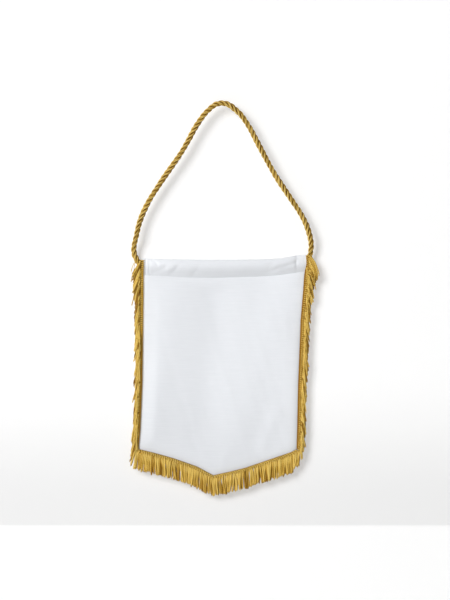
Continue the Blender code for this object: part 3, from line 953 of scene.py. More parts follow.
@dataclass
class ClothPanel:
    """The white panel with its pointed foot, its top turned back and stitched down as a rod sleeve."""

    thickness: float = 0.00045
    front: float = -0.0006
    lap: float = 0.0032
    columns: int = 190
    to_sides: float = 0.1
    panel_rows: int = 150
    to_seam: float = 1.25
    under_seam: float = 0.0002
    sleeve_rows: int = 30
    sleeve_depth: float = 0.0078
    fullness: float = 0.48
    tuck_rows: int = 5
    tuck: float = 0.0055
    tuck_gap: float = 0.00015
    softenings: int = 3
    fold_fade: float = 0.020
    ripple: float = 0.00018
    roll: float = 0.0006
    roll_spread: Pair = (0.0014, 0.030)
    roll_fade: float = 0.020
    pucker: float = 0.00012
    pucker_shortest: float = 0.007
    wall_ripple: float = 0.00022
    pillow: float = 0.0011
    pillow_spread: float = 0.0048
    tones: ClothTones = ClothTones()

    @property
    def behind(self) -> float:
        """How far the tuck's middle lies behind the panel's."""
        return self.thickness + self.tuck_gap

    def widen(self, share: Array, height: Array) -> Array:
        """A column's place at each height: the edges, a lap beyond the sewing lines, mixed by its share."""
        left, right = (read(SIDES, side, height, "height") for side in ("left", "right"))
        return left - self.lap + share * (right + self.lap - (left - self.lap))

    def rounding(self, across: Array, height: Array) -> Array:
        """How the cloth rounds back to its sewn edges: 1 - exp(-d / spread), over each edge's distance d."""
        inside = np.maximum(margins(across, height), 0.0)
        return self.pillow * np.prod(1.0 - np.exp(-inside / self.pillow_spread), axis=0)

    def forward(self, across: Array, height: Array) -> Array:
        """How far the panel stands forward: its folds, the roll below the seam, and puckers at the sewing.

        The folds fade towards the sides, the foot and the seam, where the sewing holds the cloth flat. The
        roll is (1 - exp(-d / first)) exp(-d / second) at a distance d below the seam.

        Args:
            across: places along X.
            height: their heights.

        Returns:
            The reach towards the viewer, in metres.
        """
        below = read(SLEEVE, "seam", across) - height
        from_left, from_right, from_foot = margins(across, height)
        side = np.minimum(from_left, from_right)
        hold = ease(np.minimum(np.minimum(side, from_foot), below), 0.0, self.fold_fade)
        slow = waves(across + 0.3 * height, 5, 0.090, 0.014) + waves(height, 9, 0.110, 0.020)
        folds = (fold_field(across, height, PANEL_FOLDS) + self.ripple * slow) * hold
        near, far = (np.exp(-np.maximum(below, 0.0) / spread) for spread in self.roll_spread)
        roll = self.roll * (1.0 - near) * far * ease(side, 0.0, self.roll_fade)
        sewn = np.zeros(height.shape)
        apart = (np.abs(below), np.maximum(side, 0.0), np.maximum(from_foot, 0.0))
        for inside, along, row in zip(apart, (across, height, across), PUCKERS, strict=True):
            wave = waves(along, int(row["seed"]), row["wave"], self.pucker_shortest)
            sewn += self.pucker * np.exp(-inside / row["spread"]) * wave
        return folds + self.rounding(across, height) + roll + sewn

    def creases(self, across: Array, height: Array, climb: Array) -> Array:
        """How far the sleeve's front wall stands forward: creases held at seam and fold, and rounded ends.

        Args:
            across: places along X.
            height: their heights.
            climb: their shares of the way up the wall.

        Returns:
            The reach towards the viewer, in metres.
        """
        uneven = self.wall_ripple * waves(across - 0.8 * height, 13, 0.036, 0.009)
        free = np.sin(pi * climb) ** 0.5
        return ((fold_field(across, height, SLEEVE_CREASES) + uneven) * free
                + self.rounding(across, height) * (1.0 - climb**6))

    def side_view(self, share: Array, climb: Array) -> tuple[Array, Array, Array]:
        """The sheet's side view at each column: up the panel and the sleeve's front, over its top and down.

        The front wall comes forward by the bulge times its side view, and the rear wall's depth is sin(pi s)
        to the power of the fullness, with s the share of the way from the seam to the top fold. The tuck
        below the seam lies against the panel's rear. Softening lowers the top fold, so the heights above
        the seam are stretched back to it.

        Args:
            share: each column's share of the way across.
            climb: each sleeve row's share of the way up, as (row, 1).

        Returns:
            The height and the depth of each point, as (row, column), and each column's foot.
        """
        at_foot = FOOT["across"][0] - self.lap + share * (np.ptp(FOOT["across"]) + 2.0 * self.lap)
        foot = read(FOOT, "height", at_foot) - self.lap
        at_sleeve = self.widen(share, SIDES["height"][-1])
        seam, top, bulge = (read(SLEEVE, column, at_sleeve) for column in ("seam", "top", "bulge"))
        rise = top - self.thickness / 2.0 - seam
        up = (1.0 - (1.0 - np.linspace(0.0, 1.0, self.panel_rows)) ** self.to_seam)[:, None]
        fall = climb[-2::-1]
        down = np.linspace(0.0, self.tuck, self.tuck_rows)[:, None]
        panel = foot + up * (seam - self.under_seam - foot)
        height = np.vstack((panel, seam + climb * rise, seam + fall * rise, seam - down))
        depth = np.vstack([part * np.ones(self.columns) for part in (
            0.0 * up, -bulge * read(WALL_PROFILE, "reach", climb, "share"),
            self.sleeve_depth * np.sin(pi * fall) ** self.fullness, np.full(down.shape, self.behind))])
        first, last = self.panel_rows, len(height) - self.tuck_rows
        for line in (height, depth):
            for _ in range(self.softenings):
                around = line[first - 1 : last - 1] + line[first + 1 : last + 1]
                line[first:last] = (around + 2.0 * line[first:last]) / 4.0
        sleeve = height[first:last] - seam
        height[first:last] = seam + sleeve * rise / sleeve.max(axis=0)
        return height, depth, foot

    def middle(self) -> tuple[Array, Array, Array]:
        """The sheet's middle surface. Its columns lie closer at the sides, its sleeve rows at seam and fold.

        Returns:
            The surface as (row, column, axis), each point's place on the cloth's map, and its tone, which
            holds painted light and shade.
        """
        even = np.linspace(0.0, 1.0, self.columns)
        share = even - self.to_sides * np.sin(tau * even)
        climb = (1.0 - np.cos(np.linspace(0.0, pi, self.sleeve_rows + 1)[1:, None])) / 2.0
        height, depth, foot = self.side_view(share, climb)
        across = self.widen(share, height)
        wall = slice(self.panel_rows, self.panel_rows + self.sleeve_rows)
        tone = np.ones(height.shape)
        # The sleeve's rows start at tone 0, which keeps the panel's folds off them; the rear wall keeps it as
        # painted shade.
        tone[self.panel_rows : -self.tuck_rows] = 0.0
        y = self.front + self.thickness / 2.0 + depth - tone * self.forward(across, height)
        y[wall] -= self.creases(across[wall], height[wall], climb)
        surface = np.stack((across, y, height), -1)
        along = distances(surface.swapaxes(0, 1)).T + foot - foot.min()
        tone[wall] = self.tones.on_wall(across[wall], climb)
        return surface, np.stack((across, along), -1), tone + self.tones.everywhere(across, height)

    def build(self, finish: Material) -> Piece:
        """The cloth as one closed sheet."""
        surface, places, tone = self.middle()
        return thicken(surface, self.thickness, places, tone).to_object("pennant_cloth", CLOTH_MAP, finish)

    def lay(self, across: Array, height: Array, rear: bool) -> Array:
        """Points on the panel's front face, or on its rear one, at places along X and their heights."""
        face = self.front + (self.thickness if rear else 0.0)
        return np.stack((across, face - self.forward(across, height), height), -1)


@dataclass
class Stitching:
    """Rows of machine stitches: short threads that dip into the cloth at both ends."""

    length: float = 0.0021
    gap: float = 0.0005
    radius: float = 0.00017
    steps: int = 7
    sides: int = 6
    seam_ends: Pair = (-0.0975, 0.1035)
    below_seam: float = 0.0006
    run_margin: float = 0.004
    inside_run: float = 0.0016

    def row(self, line: Array, rear: bool) -> Shell:
        """Stitches along a line on a face: each a tube that stands r (1.6 sin(pi t) - 0.8) over the cloth.

        Args:
            line: the line's points, on the face.
            rear: whether the face looks away from the viewer.

        Returns:
            The row.
        """
        lengths = distances(line)
        pitch = self.length + self.gap
        count = int(lengths[-1] / pitch)
        starts = (lengths[-1] - count * pitch) / 2.0 + pitch * np.arange(count)
        t = np.linspace(0.0, 1.0, self.steps)
        paths = between(starts[:, None] + t * self.length, lengths, line)
        rise = self.radius * (1.6 * np.sin(pi * t) - 0.8)
        paths[..., 1] += rise if rear else -rise
        return Section(self.sides).carry(paths, self.radius * np.sqrt(np.sin(pi * (0.08 + 0.84 * t))))

    def rows(self, cloth: ClothPanel) -> Shell:
        """The sleeve's seam in front and behind, and the rows behind that hold the fringe.

        Args:
            cloth: the cloth that they lie on.

        Returns:
            All rows.
        """
        across = np.linspace(*self.seam_ends, 240)
        seam = read(SLEEVE, "seam", across) - self.below_seam
        behind = cloth.lay(across, seam - cloth.tuck / 2.0, True)
        behind[:, 1] = cloth.front + cloth.thickness + cloth.behind
        rows = [self.row(cloth.lay(across, seam, False), False), self.row(behind, True)]
        for run in Run:
            line = sewing_line(run)
            lengths = distances(line)
            at = np.linspace(self.run_margin, lengths[-1] - self.run_margin, 160)
            inner = between(at, lengths, line) + self.inside_run * outward(run)
            rows.append(self.row(cloth.lay(inner[:, 0], inner[:, 1], True), True))
        return Shell.joined(rows)


@dataclass
class Heading:
    """The fringe's woven heading, the rows of slanting stitches on it, and where the strands leave it.

    A row of stitches is its distance from the sewing line and its slant in degrees. Further down the run
    the face stands at front_below, the strands leave nearer by root_below, and it carries painted shade.
    Its tones are painted light and shade: painted shadow along the inner edge, painted shade in the
    grooves between the ribs and on its back.
    """

    root: float
    width: float = 0.0042
    tuck: float = 0.0
    inset: float = 0.0
    front: float = -0.0027
    front_below: float = -0.0027
    root_below: float = 0.0
    shaded_below: float = 0.0
    stitch_rows: tuple[Pair, ...] = ((0.0009, 8.0),)
    stitch_pitch: float = 0.0026
    stitch_length: float = 0.0019
    stitch_yarn: float = 0.00055
    stitch_bow: float = 0.0003
    stitch_steps: int = 7
    # edge_tones paint shadow along the inner edge; ground is the face's tone, dark on the foot as painted
    # shade between its stitches; rear_tones paint shade on the back
    edge_tones: tuple[float, float, float, float] = (0.0, 0.0, 0.0, 0.0)
    ground: float = 0.5
    rear_tones: Pair = (0.3, 0.2)
    # painted shade in the grooves between the ribs
    grooved: float = 0.96
    rear: float = -0.0009
    rib_pitch: float = 0.0026
    rib_depth: float = 0.00042
    uneven: float = 0.06
    step: float = 0.00037

    def face(self, share: Array) -> Array:
        """How far forward the heading's face stands: it changes softly about half way down the run."""
        return self.front + (self.front_below - self.front) * ease(share, 0.40, 0.20)

    def below(self, share: Array) -> Array:
        """0 on the upper third of the run and 1 further down."""
        return ease(share, 0.34, 0.10)

    def bright(self, share: Array) -> Array:
        """How much painted shade leaves of the heading's brightness: less on the lower part of the run."""
        return 1.0 - self.shaded_below * self.below(share)


@dataclass
class LooseYarns:
    """The frayed ends at the two top corners: bundles of fine yarns, each a curve through three places."""

    section: Section = Section(8, 2, 0.15)
    steps: int = 12
    seed: int = 51
    arch: float = 0.0006
    chance: float = 0.0002

    def bundle(self, row: NDArray, draw: np.random.Generator) -> Shell:
        """One bundle's yarns, which start together and spread towards their ends.

        Each is the curve (1 - t) squared of its start, 2 t (1 - t) of its middle and t squared of its end.

        Args:
            row: the bundle's row of the table.
            draw: the source of its unevenness.

        Returns:
            The yarns.
        """
        count = int(row["count"])
        t = np.linspace(0.0, 1.0, self.steps)
        start = np.array((row["across"], row["depth"], row["height"]))
        middle = np.array((row["middle_across"], row["depth"] - self.arch, row["middle_height"]))
        end = np.array((row["end_across"], row["depth"], row["end_height"]))
        sway = draw.normal(0.0, 1.0, (count, 3)) * np.array((1.0, 0.4, 1.3)) * row["spread"]
        offset = np.linspace(-0.5, 0.5, count)[:, None] * np.array((row["spread"] * 2.0, 0.0, 0.0))
        starts = (start + 0.25 * offset)[:, None]
        middles = (middle + 0.4 * (sway + offset) + draw.normal(0.0, self.chance, (count, 3)))[:, None]
        ends = (end + sway + offset)[:, None]
        first, last = (1.0 - t)[:, None], t[:, None]
        lines = first**2 * starts + 2.0 * first * last * middles + last**2 * ends
        taper = np.sqrt(np.clip((1.02 - t) / 0.1, 0.15, 1.0))
        radii = row["radius"] * draw.uniform(0.8, 1.15, (count, 1)) * taper
        tone = draw.uniform(0.45, 0.95, (count, 1, 1))
        turns = draw.uniform(0.0, tau, (count, 1)) + tau * t
        return self.section.carry(lines, radii, turns, tone)

    def build(self, side: Run) -> Shell:
        """All bundles at the top of one side.

        Args:
            side: the run of fringe that they belong to.

        Returns:
            The bundles as one shell.
        """
        draw = np.random.default_rng(self.seed)
        rows = [row for row in BUNDLES if row["across"] * side.side > 0.0]
        return Shell.joined([self.bundle(row, draw) for row in rows])


@dataclass
class FringeRun:
    """One run of fringe: a ribbed heading, rows of stitches on it and several layers of hanging strands."""

    run: Run
    strands: int
    seed: int
    length: float
    heading: Heading
    contrast: float = 0.17
    lightness: float = 0.75
    radius: float = 0.00105
    steps: int = 15
    section: Section = Section(10, 2, 0.18, 0.85)
    lay: float = 0.030
    crowding: float = 1.25
    lock_size: int = 2
    toss: float = 3.0
    loft: float = 0.0002
    gather: float = 0.15
    scatter: float = 0.25
    closed: float = 0.0
    clumps: float = 1.0
    cut: float = 0.0
    # painted highlights as a sine along each strand, standing in for its twist catching the light
    twist_glints: float = 0.0
    twist_glint_pitch: float = 0.0056
    bow: float = 0.0005
    wave_reach: float = 0.25
    lean_waves: float = 3.5
    lean_chance: float = 2.0
    sway: float = 6.0
    ragged: float = 0.035
    depth_chance: float = 0.00022
    depth_sway: float = 0.0003
    spacing: float = 0.0028
    lock_share: float = 0.5
    # painted shade on each strand's sides and painted light on its lobes
    side_shade: float = 0.46
    lobe_light: float = 0.10
    layers: tuple[float, ...] = (-0.0029, -0.0022, -0.0015)
    # painted shade on the layers behind
    layer_shades: tuple[float, ...] = (0.0, 0.24, 0.30)

    def draw(self, layer: int, purpose: Draw) -> np.random.Generator:
        """The source of one layer's unevenness for one purpose."""
        return np.random.default_rng(self.seed * 10 + layer + purpose.value)

    def lean(self, column: str, share: Array) -> Array:
        """A column of the run's table of leans at shares of its length."""
        return read(LEANS[self.run.value], column, share, "share")

    def edges(self, share: Array, out: Values) -> Array:
        """Points at a share of the run's length and a distance out from the sewing line.

        The way out is square to the run, and turns to the mitre's bisector over its last twentieth.

        Args:
            share: shares of the length, from the run's first strand.
            out: distances from the sewing line, in metres.

        Returns:
            (across, height) points.
        """
        first, last = (mitre(self.run, neighbour) for neighbour in NEIGHBOURS[self.run])
        square = outward(self.run)
        line = sewing_line(self.run)
        lengths = distances(line)
        way = between(share, (0.0, 0.05, 0.95, 1.0), (first, square, square, last))
        return between(share * lengths[-1], lengths, line) + np.asarray(out)[..., None] * way

    def heading_shell(self) -> Shell:
        """The heading: a flat bar whose front rises in cross ribs as |sin(pi s / pitch)| to the power 0.7.

        Returns:
            The bar.
        """
        sizes = self.heading
        reach = distances(sewing_line(self.run))[-1]
        share = np.linspace(0.002, 0.998, round(reach / sizes.step))[:, None]
        rib = sizes.rib_depth * np.abs(np.sin(pi * share * int(reach / sizes.rib_pitch))) ** 0.7
        places = self.edges(share, np.maximum(SECTION["out"] * sizes.width, sizes.inset))
        wave = 1.0 + sizes.uneven * waves(share * reach, self.seed, 0.03, 0.006)
        lifted = (sizes.face(share) + sizes.rib_depth - sizes.rear) * SECTION["lift"] * wave
        depth = sizes.rear + lifted - rib * SECTION["rise"]
        rings = np.stack((places[..., 0], depth, places[..., 1]), -1)
        # painted shade in the rib grooves, painted shadow along the inner edge and painted shade on the back
        grooves = 1.0 - sizes.grooved * (1.0 - (rib / sizes.rib_depth) ** 3.0)
        ground = (sizes.ground,) * 3
        over = np.array((*sizes.edge_tones, *ground, *sizes.rear_tones, sizes.edge_tones[0]))
        bar = bars(rings[None], rings.mean(axis=1)[None], (sizes.bright(share) * grooves * over)[None])
        bar.tone[-2:] = sizes.rear_tones[1]
        return bar

    def stitch_shell(self) -> Shell:
        """The heading's stitches: short yarns over it, each standing forward by the bow times 1 + sin(pi t).

        Returns:
            All stitches.
        """
        sizes = self.heading
        reach = distances(sewing_line(self.run))[-1]
        count = int(reach / sizes.stitch_pitch)
        t = np.linspace(0.0, 1.0, sizes.stitch_steps)
        draw = np.random.default_rng(self.seed + 1)
        yarn = sizes.stitch_yarn * np.sin(pi * (0.06 + 0.88 * t)) ** 0.4
        shells = []
        for row, (at, slant) in enumerate(sizes.stitch_rows):
            share = (np.arange(count)[:, None] + 0.4 + 0.4 * (row % 2)) / count
            long = sizes.stitch_length * (t - 0.5) * draw.uniform(0.85, 1.15, (count, 1))
            along = share + long * np.sin(radians(slant)) / reach
            places = self.edges(along, at + long * np.cos(radians(slant)))
            raised = read(SECTION[:5], "lift", np.clip((at + long) / sizes.width, 0.0, 1.0), "out")
            face = sizes.rear + (sizes.face(share) - sizes.rear) * raised
            depth = face - sizes.stitch_bow * (1.0 + np.sin(pi * t))
            # the stitches' tone varies at random and takes the painted shade lower down
            tone = draw.uniform(0.86, 1.0, (count, 1)) * sizes.bright(share)
            lines = np.stack((places[..., 0], depth, places[..., 1]), -1)
            shells.append(Section(8).carry(lines, yarn, tone=tone[..., None]))
        return Shell.joined(shells)

    def locks(self, layer: int) -> Whole:
        """Which lock each strand of a layer belongs to: a few neighbours that hang together."""
        sizes = self.draw(layer, Draw.LOCKS).integers(1, 2 * self.lock_size, self.strands)
        return np.repeat(np.arange(self.strands), sizes)[: self.strands]

    def raised(self, layer: int) -> Array:
        """How far each strand of a layer stands forward of its neighbours, from -1 to 1."""
        return self.draw(layer, Draw.RAISED).uniform(-1.0, 1.0, self.strands)

    def opened(self, share: Array) -> Array:
        """How freely the strands hang: less by the share closed at the top, and 1 from a sixth down."""
        return 1.0 - self.closed * (1.0 - ease(share, 0.06, 0.10))

    def spaced(self, layer: int, draw: np.random.Generator) -> Array:
        """Where the strands hang: evenly but for chance, and on the foot closer towards its two corners.

        Args:
            layer: the layer, 0 in front.
            draw: the source of the chance.

        Returns:
            Each strand's share of the run's length.
        """
        count = self.strands
        share = (np.arange(count) + 0.4 + (layer % 2) * 0.3 + draw.uniform(-0.28, 0.28, count)) / count
        if self.run is Run.BOTTOM_LEFT:
            share = share**self.crowding
        if self.run is Run.BOTTOM_RIGHT:
            share = 1.0 - np.maximum(1.0 - share, 0.0) ** self.crowding
        return np.clip(share, 0.003, 0.997)

    def strand_lines(self, layer: int) -> Array:
        """The middle lines of one layer's strands.

        A strand leaves its root square to the heading, comes round to its lean over the share of its length
        that the table of leans gives, and then hangs with a slight sway. Each point is the sum of the steps
        before it, drawn towards the middle of its lock.

        Args:
            layer: the layer, 0 in front.

        Returns:
            The lines, as (strand, step, axis).
        """
        draw = self.draw(layer, Draw.LINES)
        count, sizes, side = self.strands, self.heading, self.run.side
        t = np.linspace(0.0, 1.0, self.steps)
        share = self.spaced(layer, draw)
        free = self.opened(share)
        lock = self.locks(layer)
        front = sizes.root - sizes.root_below * sizes.below(share)
        root = self.edges(share, front if layer == 0 else sizes.width * 0.80)
        start = root - self.edges(share, 0.0)
        root_turn = np.arctan2(side * start[:, 0], -start[:, 1])[:, None]
        lean = np.radians(self.lean("lean", share))
        lean += radians(self.lean_waves) * waves(share * self.wave_reach, self.seed + layer, 0.06, 0.008)
        lean += radians(self.toss) * free * draw.normal(0.0, 1.0, count)[lock]
        lean += draw.normal(0.0, radians(self.lean_chance), count)
        bend = self.lean("bend", share) * (1.0 + self.scatter * draw.uniform(-1.0, 1.0, count))
        turned = ease(0.12 + t / bend[:, None])
        sway = np.sin(tau * (t * draw.uniform(0.5, 0.9, (count, 1)) + draw.uniform(0, 1, (count, 1))))
        angle = root_turn + turned * (lean[:, None] - root_turn) + radians(self.sway) * sway * t
        ragged = self.ragged * waves(share * self.wave_reach, self.seed + 3, 0.05, 0.010)
        ragged += draw.normal(0.0, self.ragged, count)
        whole = 1.0 - self.cut * ease(share, 0.90, 0.10)
        step = self.length * (whole * (1.0 + ragged))[:, None] / (self.steps - 1)
        moves = np.stack((side * np.sin(angle), -np.cos(angle)), -1) * step[..., None]
        places = root[:, None] + np.cumsum(moves, axis=1) - moves[:, :1]
        members = np.maximum(np.bincount(lock, minlength=count), 1)[:, None]
        centre = np.stack([np.bincount(lock, axis, count) for axis in root.T], -1) / members
        drawn = self.gather * free[:, None, None] * ease(t, 0.2, 0.8)[:, None]
        places += drawn * (centre[lock] - root)[:, None]
        hang = self.layers[layer] + draw.normal(0.0, self.depth_chance, (count, 1))
        hang = hang + self.bow * (t - np.sin(pi * t**0.8)) + sizes.tuck * (1.0 - ease(t, 0.0, 0.16))
        hang -= self.loft * (free * self.raised(layer))[:, None] * ease(t, 0.0, 0.3)
        hang += self.depth_sway * np.sin(tau * (t * 0.8 + draw.uniform(0, 1, (count, 1)))) * t
        return np.stack((places[..., 0], hang, places[..., 1]), -1)

    def strand_shell(self, layer: int) -> Shell:
        """One layer's strands: lobed yarns, round at the end, that turn once in each lay.

        Their tone varies at random by strand, by lock and slowly along the run. Painted highlights run as a
        sine along each strand, with painted light and shade at root and end from the table of leans, painted
        light on the lobes, towards the viewer and on strands that stand forward, and painted shade on their
        sides and in the layers behind.

        Args:
            layer: the layer, 0 in front.

        Returns:
            The strands.
        """
        lines = self.strand_lines(layer)
        draw = self.draw(layer, Draw.TONES)
        count = self.strands
        t = np.linspace(0.0, 1.0, self.steps)
        taper = np.sqrt(np.clip((1.0 - t) / 0.07, 0.12, 1.0)) * (1.08 - 0.10 * ease(t, 0.0, 0.5))
        radii = self.radius * draw.uniform(0.86, 1.12, (count, 1)) * taper
        turns = draw.uniform(0.0, tau, (count, 1)) + tau * self.length * t / self.lay
        share = np.arange(count) / count
        own = draw.normal(-self.layer_shades[layer], self.contrast, count)
        slow = waves(np.arange(count) * self.spacing, self.seed + 7 + layer, 0.030, 0.010)
        own += self.clumps * self.contrast * slow
        own += self.lock_share * self.contrast * draw.normal(0.0, 1.0, count)[self.locks(layer)]
        # painted light on strands that stand forward
        own += self.contrast * self.raised(layer)
        own = self.lightness + (0.4 + 0.6 * self.opened(share)) * own
        root, end = (self.lean(column, share)[:, None] for column in ("root", "end"))
        started = self.draw(layer, Draw.DAPPLE).uniform(0.0, 1.0, (count, 1))
        # painted light and shade along each strand, and painted highlights as a sine along it
        gleam = root + (end - root) * ease(t, 0.15, 0.35)
        gleam += self.twist_glints * np.sin(tau * (self.length * t / self.twist_glint_pitch + started))
        angle = self.section.angles()
        facing = np.abs(np.sin(angle + turns[..., None]))
        ridge = np.cos(self.section.lobes * angle)
        # painted shade on the strands' sides, painted light on their fronts and lobes
        tone = (own[:, None] + gleam)[..., None] + self.side_shade * (facing - 0.6) + self.lobe_light * ridge
        return self.section.carry(lines, radii, turns, np.clip(tone, 0.0, 1.0))

    def build(self, finish: Material) -> Piece:
        """The whole run as one object.

        Args:
            finish: its finish.

        Returns:
            The object.
        """
        parts = [self.heading_shell(), self.stitch_shell()]
        parts += [self.strand_shell(layer) for layer in range(len(self.layers))]
        if not self.run.on_foot:
            parts.append(LooseYarns().build(self.run))
        return Shell.joined(parts).to_object(f"gold_fringe_{self.run.value}", YARN_MAP, finish)


@dataclass
class HangingCord:
    """The twisted cord: three strands laid round one another."""

    radius: float = 0.0026
    strands: int = 3
    strand_radius: float = 0.00157
    strand_reach: float = 0.00194
    section: Section = Section(24, 4, 0.18)
    lay: float = 0.0215
    yarn_lay: float = 0.250
    step: float = 0.0009
    uneven: float = 0.03
    # Painted tones: shade in the grooves, light on faces turned outwards and on the lobes, shade on the
    # right; mottle varies at random
    groove_tone: float = 0.10
    outer_light: float = 0.68
    ridge_light: float = 0.46
    right_shade: float = 0.40
    mottle: float = 0.10

    def route(self) -> tuple[Array, Array]:
        """The middle line at an even step, and the distances along it."""
        return even_line(smooth_line(CORD_ROUTE, 12), self.step)

    def build(self, finish: Material) -> Piece:
        """The cord as one object: three closed strands of lobed yarn, with painted shade where two lie
        together, painted light on their outer faces and lobes, and painted shade on the side facing +X, away
        from the key light.

        Each strand's middle line is a helix of one turn in each lay round the cord's own line.

        Args:
            finish: its finish.

        Returns:
            The object.
        """
        line, along = self.route()
        phase = tau * np.arange(self.strands)[:, None] / self.strands + tau * along / self.lay
        wide, deep = frames_along(line[None])
        outwards = np.cos(phase)[..., None] * wide + np.sin(phase)[..., None] * deep
        lines = line + self.strand_reach * outwards
        slow = waves(np.arange(len(line)) * self.step, 3, 0.05, 0.008)
        radii = self.strand_radius * (1.0 + self.uneven * slow)
        turns = tau * along / self.yarn_lay
        angle = self.section.angles()
        turned = angle + turns[:, None]
        ridge = 1.0 - 2.0 * np.abs(np.sin(self.section.lobes * angle / 2.0)) ** 1.5
        # painted shade where the strands lie together and on their right sides, painted light outwards and on
        # the lobes
        outer = ease(np.cos(turned - phase[..., None]), -0.10)
        facing_right = np.cos(turned) * frames_along(lines)[0][..., :1]
        tone = self.groove_tone + self.outer_light * outer + self.ridge_light * ridge * (0.3 + 0.7 * outer)
        tone = tone - self.right_shade * facing_right + self.mottle * waves(along, 17, 0.02, 0.003)[:, None]
        rope = self.section.carry(lines, radii, turns, np.clip(tone, 0.0, 1.0))
        return rope.to_object("hanging_cord", YARN_MAP, finish)


@dataclass(frozen=True)
class StageFinish:
    """A plain pale finish for the wall and the floor, and how much light each gives of its own.

    The wall's light falls on the pennant, and the floor's is only seen.
    """

    name: str
    colour: Triple
    glow: float
    see_through_behind: bool = False
    only_seen: bool = False
    shaded: float = 1.0
    shade_span: Pair = (-0.330, -0.515)
    shade_end: Pair = (-0.533, -0.536)

    def build(self) -> Material:
        """The finish as a material. Seen from behind, or by a light, the wall lets everything through.

        A wall that is shaded grows darker downwards over one span of height and ends its shade over another.

        Returns:
            The material.
        """
        material, nodes, shader = new_material(self.name)
        inputs = {"Base Color": (*self.colour, 1.0), "Roughness": 1.0, "Specular IOR Level": 0.0,
                  "Emission Color": (1.0, 1.0, 1.0, 1.0), "Emission Strength": self.glow}
        for name, value in inputs.items():
            nodes.feed(shader.inputs[name], value)
        if self.shaded < 1.0:
            where = nodes.add("ShaderNodeTexCoord")
            height = nodes.add("ShaderNodeSeparateXYZ", Vector=where.outputs["Object"]).outputs[2]
            ranges = (("SMOOTHSTEP", self.shade_span, 0.0), ("LINEAR", self.shade_end, 1.0))
            down, beyond = (
                nodes.add("ShaderNodeMapRange", {"interpolation_type": kind}, Value=height, From_Min=span[0],
                          From_Max=span[1], To_Min=low, To_Max=1.0 - low).outputs[0]
                for kind, span, low in ranges
            )
            light = nodes.math("MULTIPLY_ADD", nodes.math("MULTIPLY", down, beyond), self.shaded - 1.0, 1.0)
            nodes.feed(shader.inputs["Base Color"], nodes.times(self.colour, light))
            nodes.feed(shader.inputs["Emission Strength"], nodes.math("MULTIPLY", light, self.glow))
        if self.only_seen:
            seen = nodes.add("ShaderNodeLightPath").outputs["Is Camera Ray"]
            nodes.feed(shader.inputs["Emission Strength"], nodes.math("MULTIPLY", seen, self.glow))
        if self.see_through_behind:
            clear = nodes.add("ShaderNodeBsdfTransparent")
            behind = nodes.add("ShaderNodeNewGeometry").outputs["Backfacing"]
            shadow = nodes.add("ShaderNodeLightPath").outputs["Is Shadow Ray"]
            mix = nodes.add("ShaderNodeMixShader", Fac=nodes.math("MAXIMUM", behind, shadow),
                            i1=shader.outputs[0], i2=clear.outputs[0])
            nodes.feed(material.node_tree.nodes["Material Output"].inputs["Surface"], mix.outputs[0])
        return material


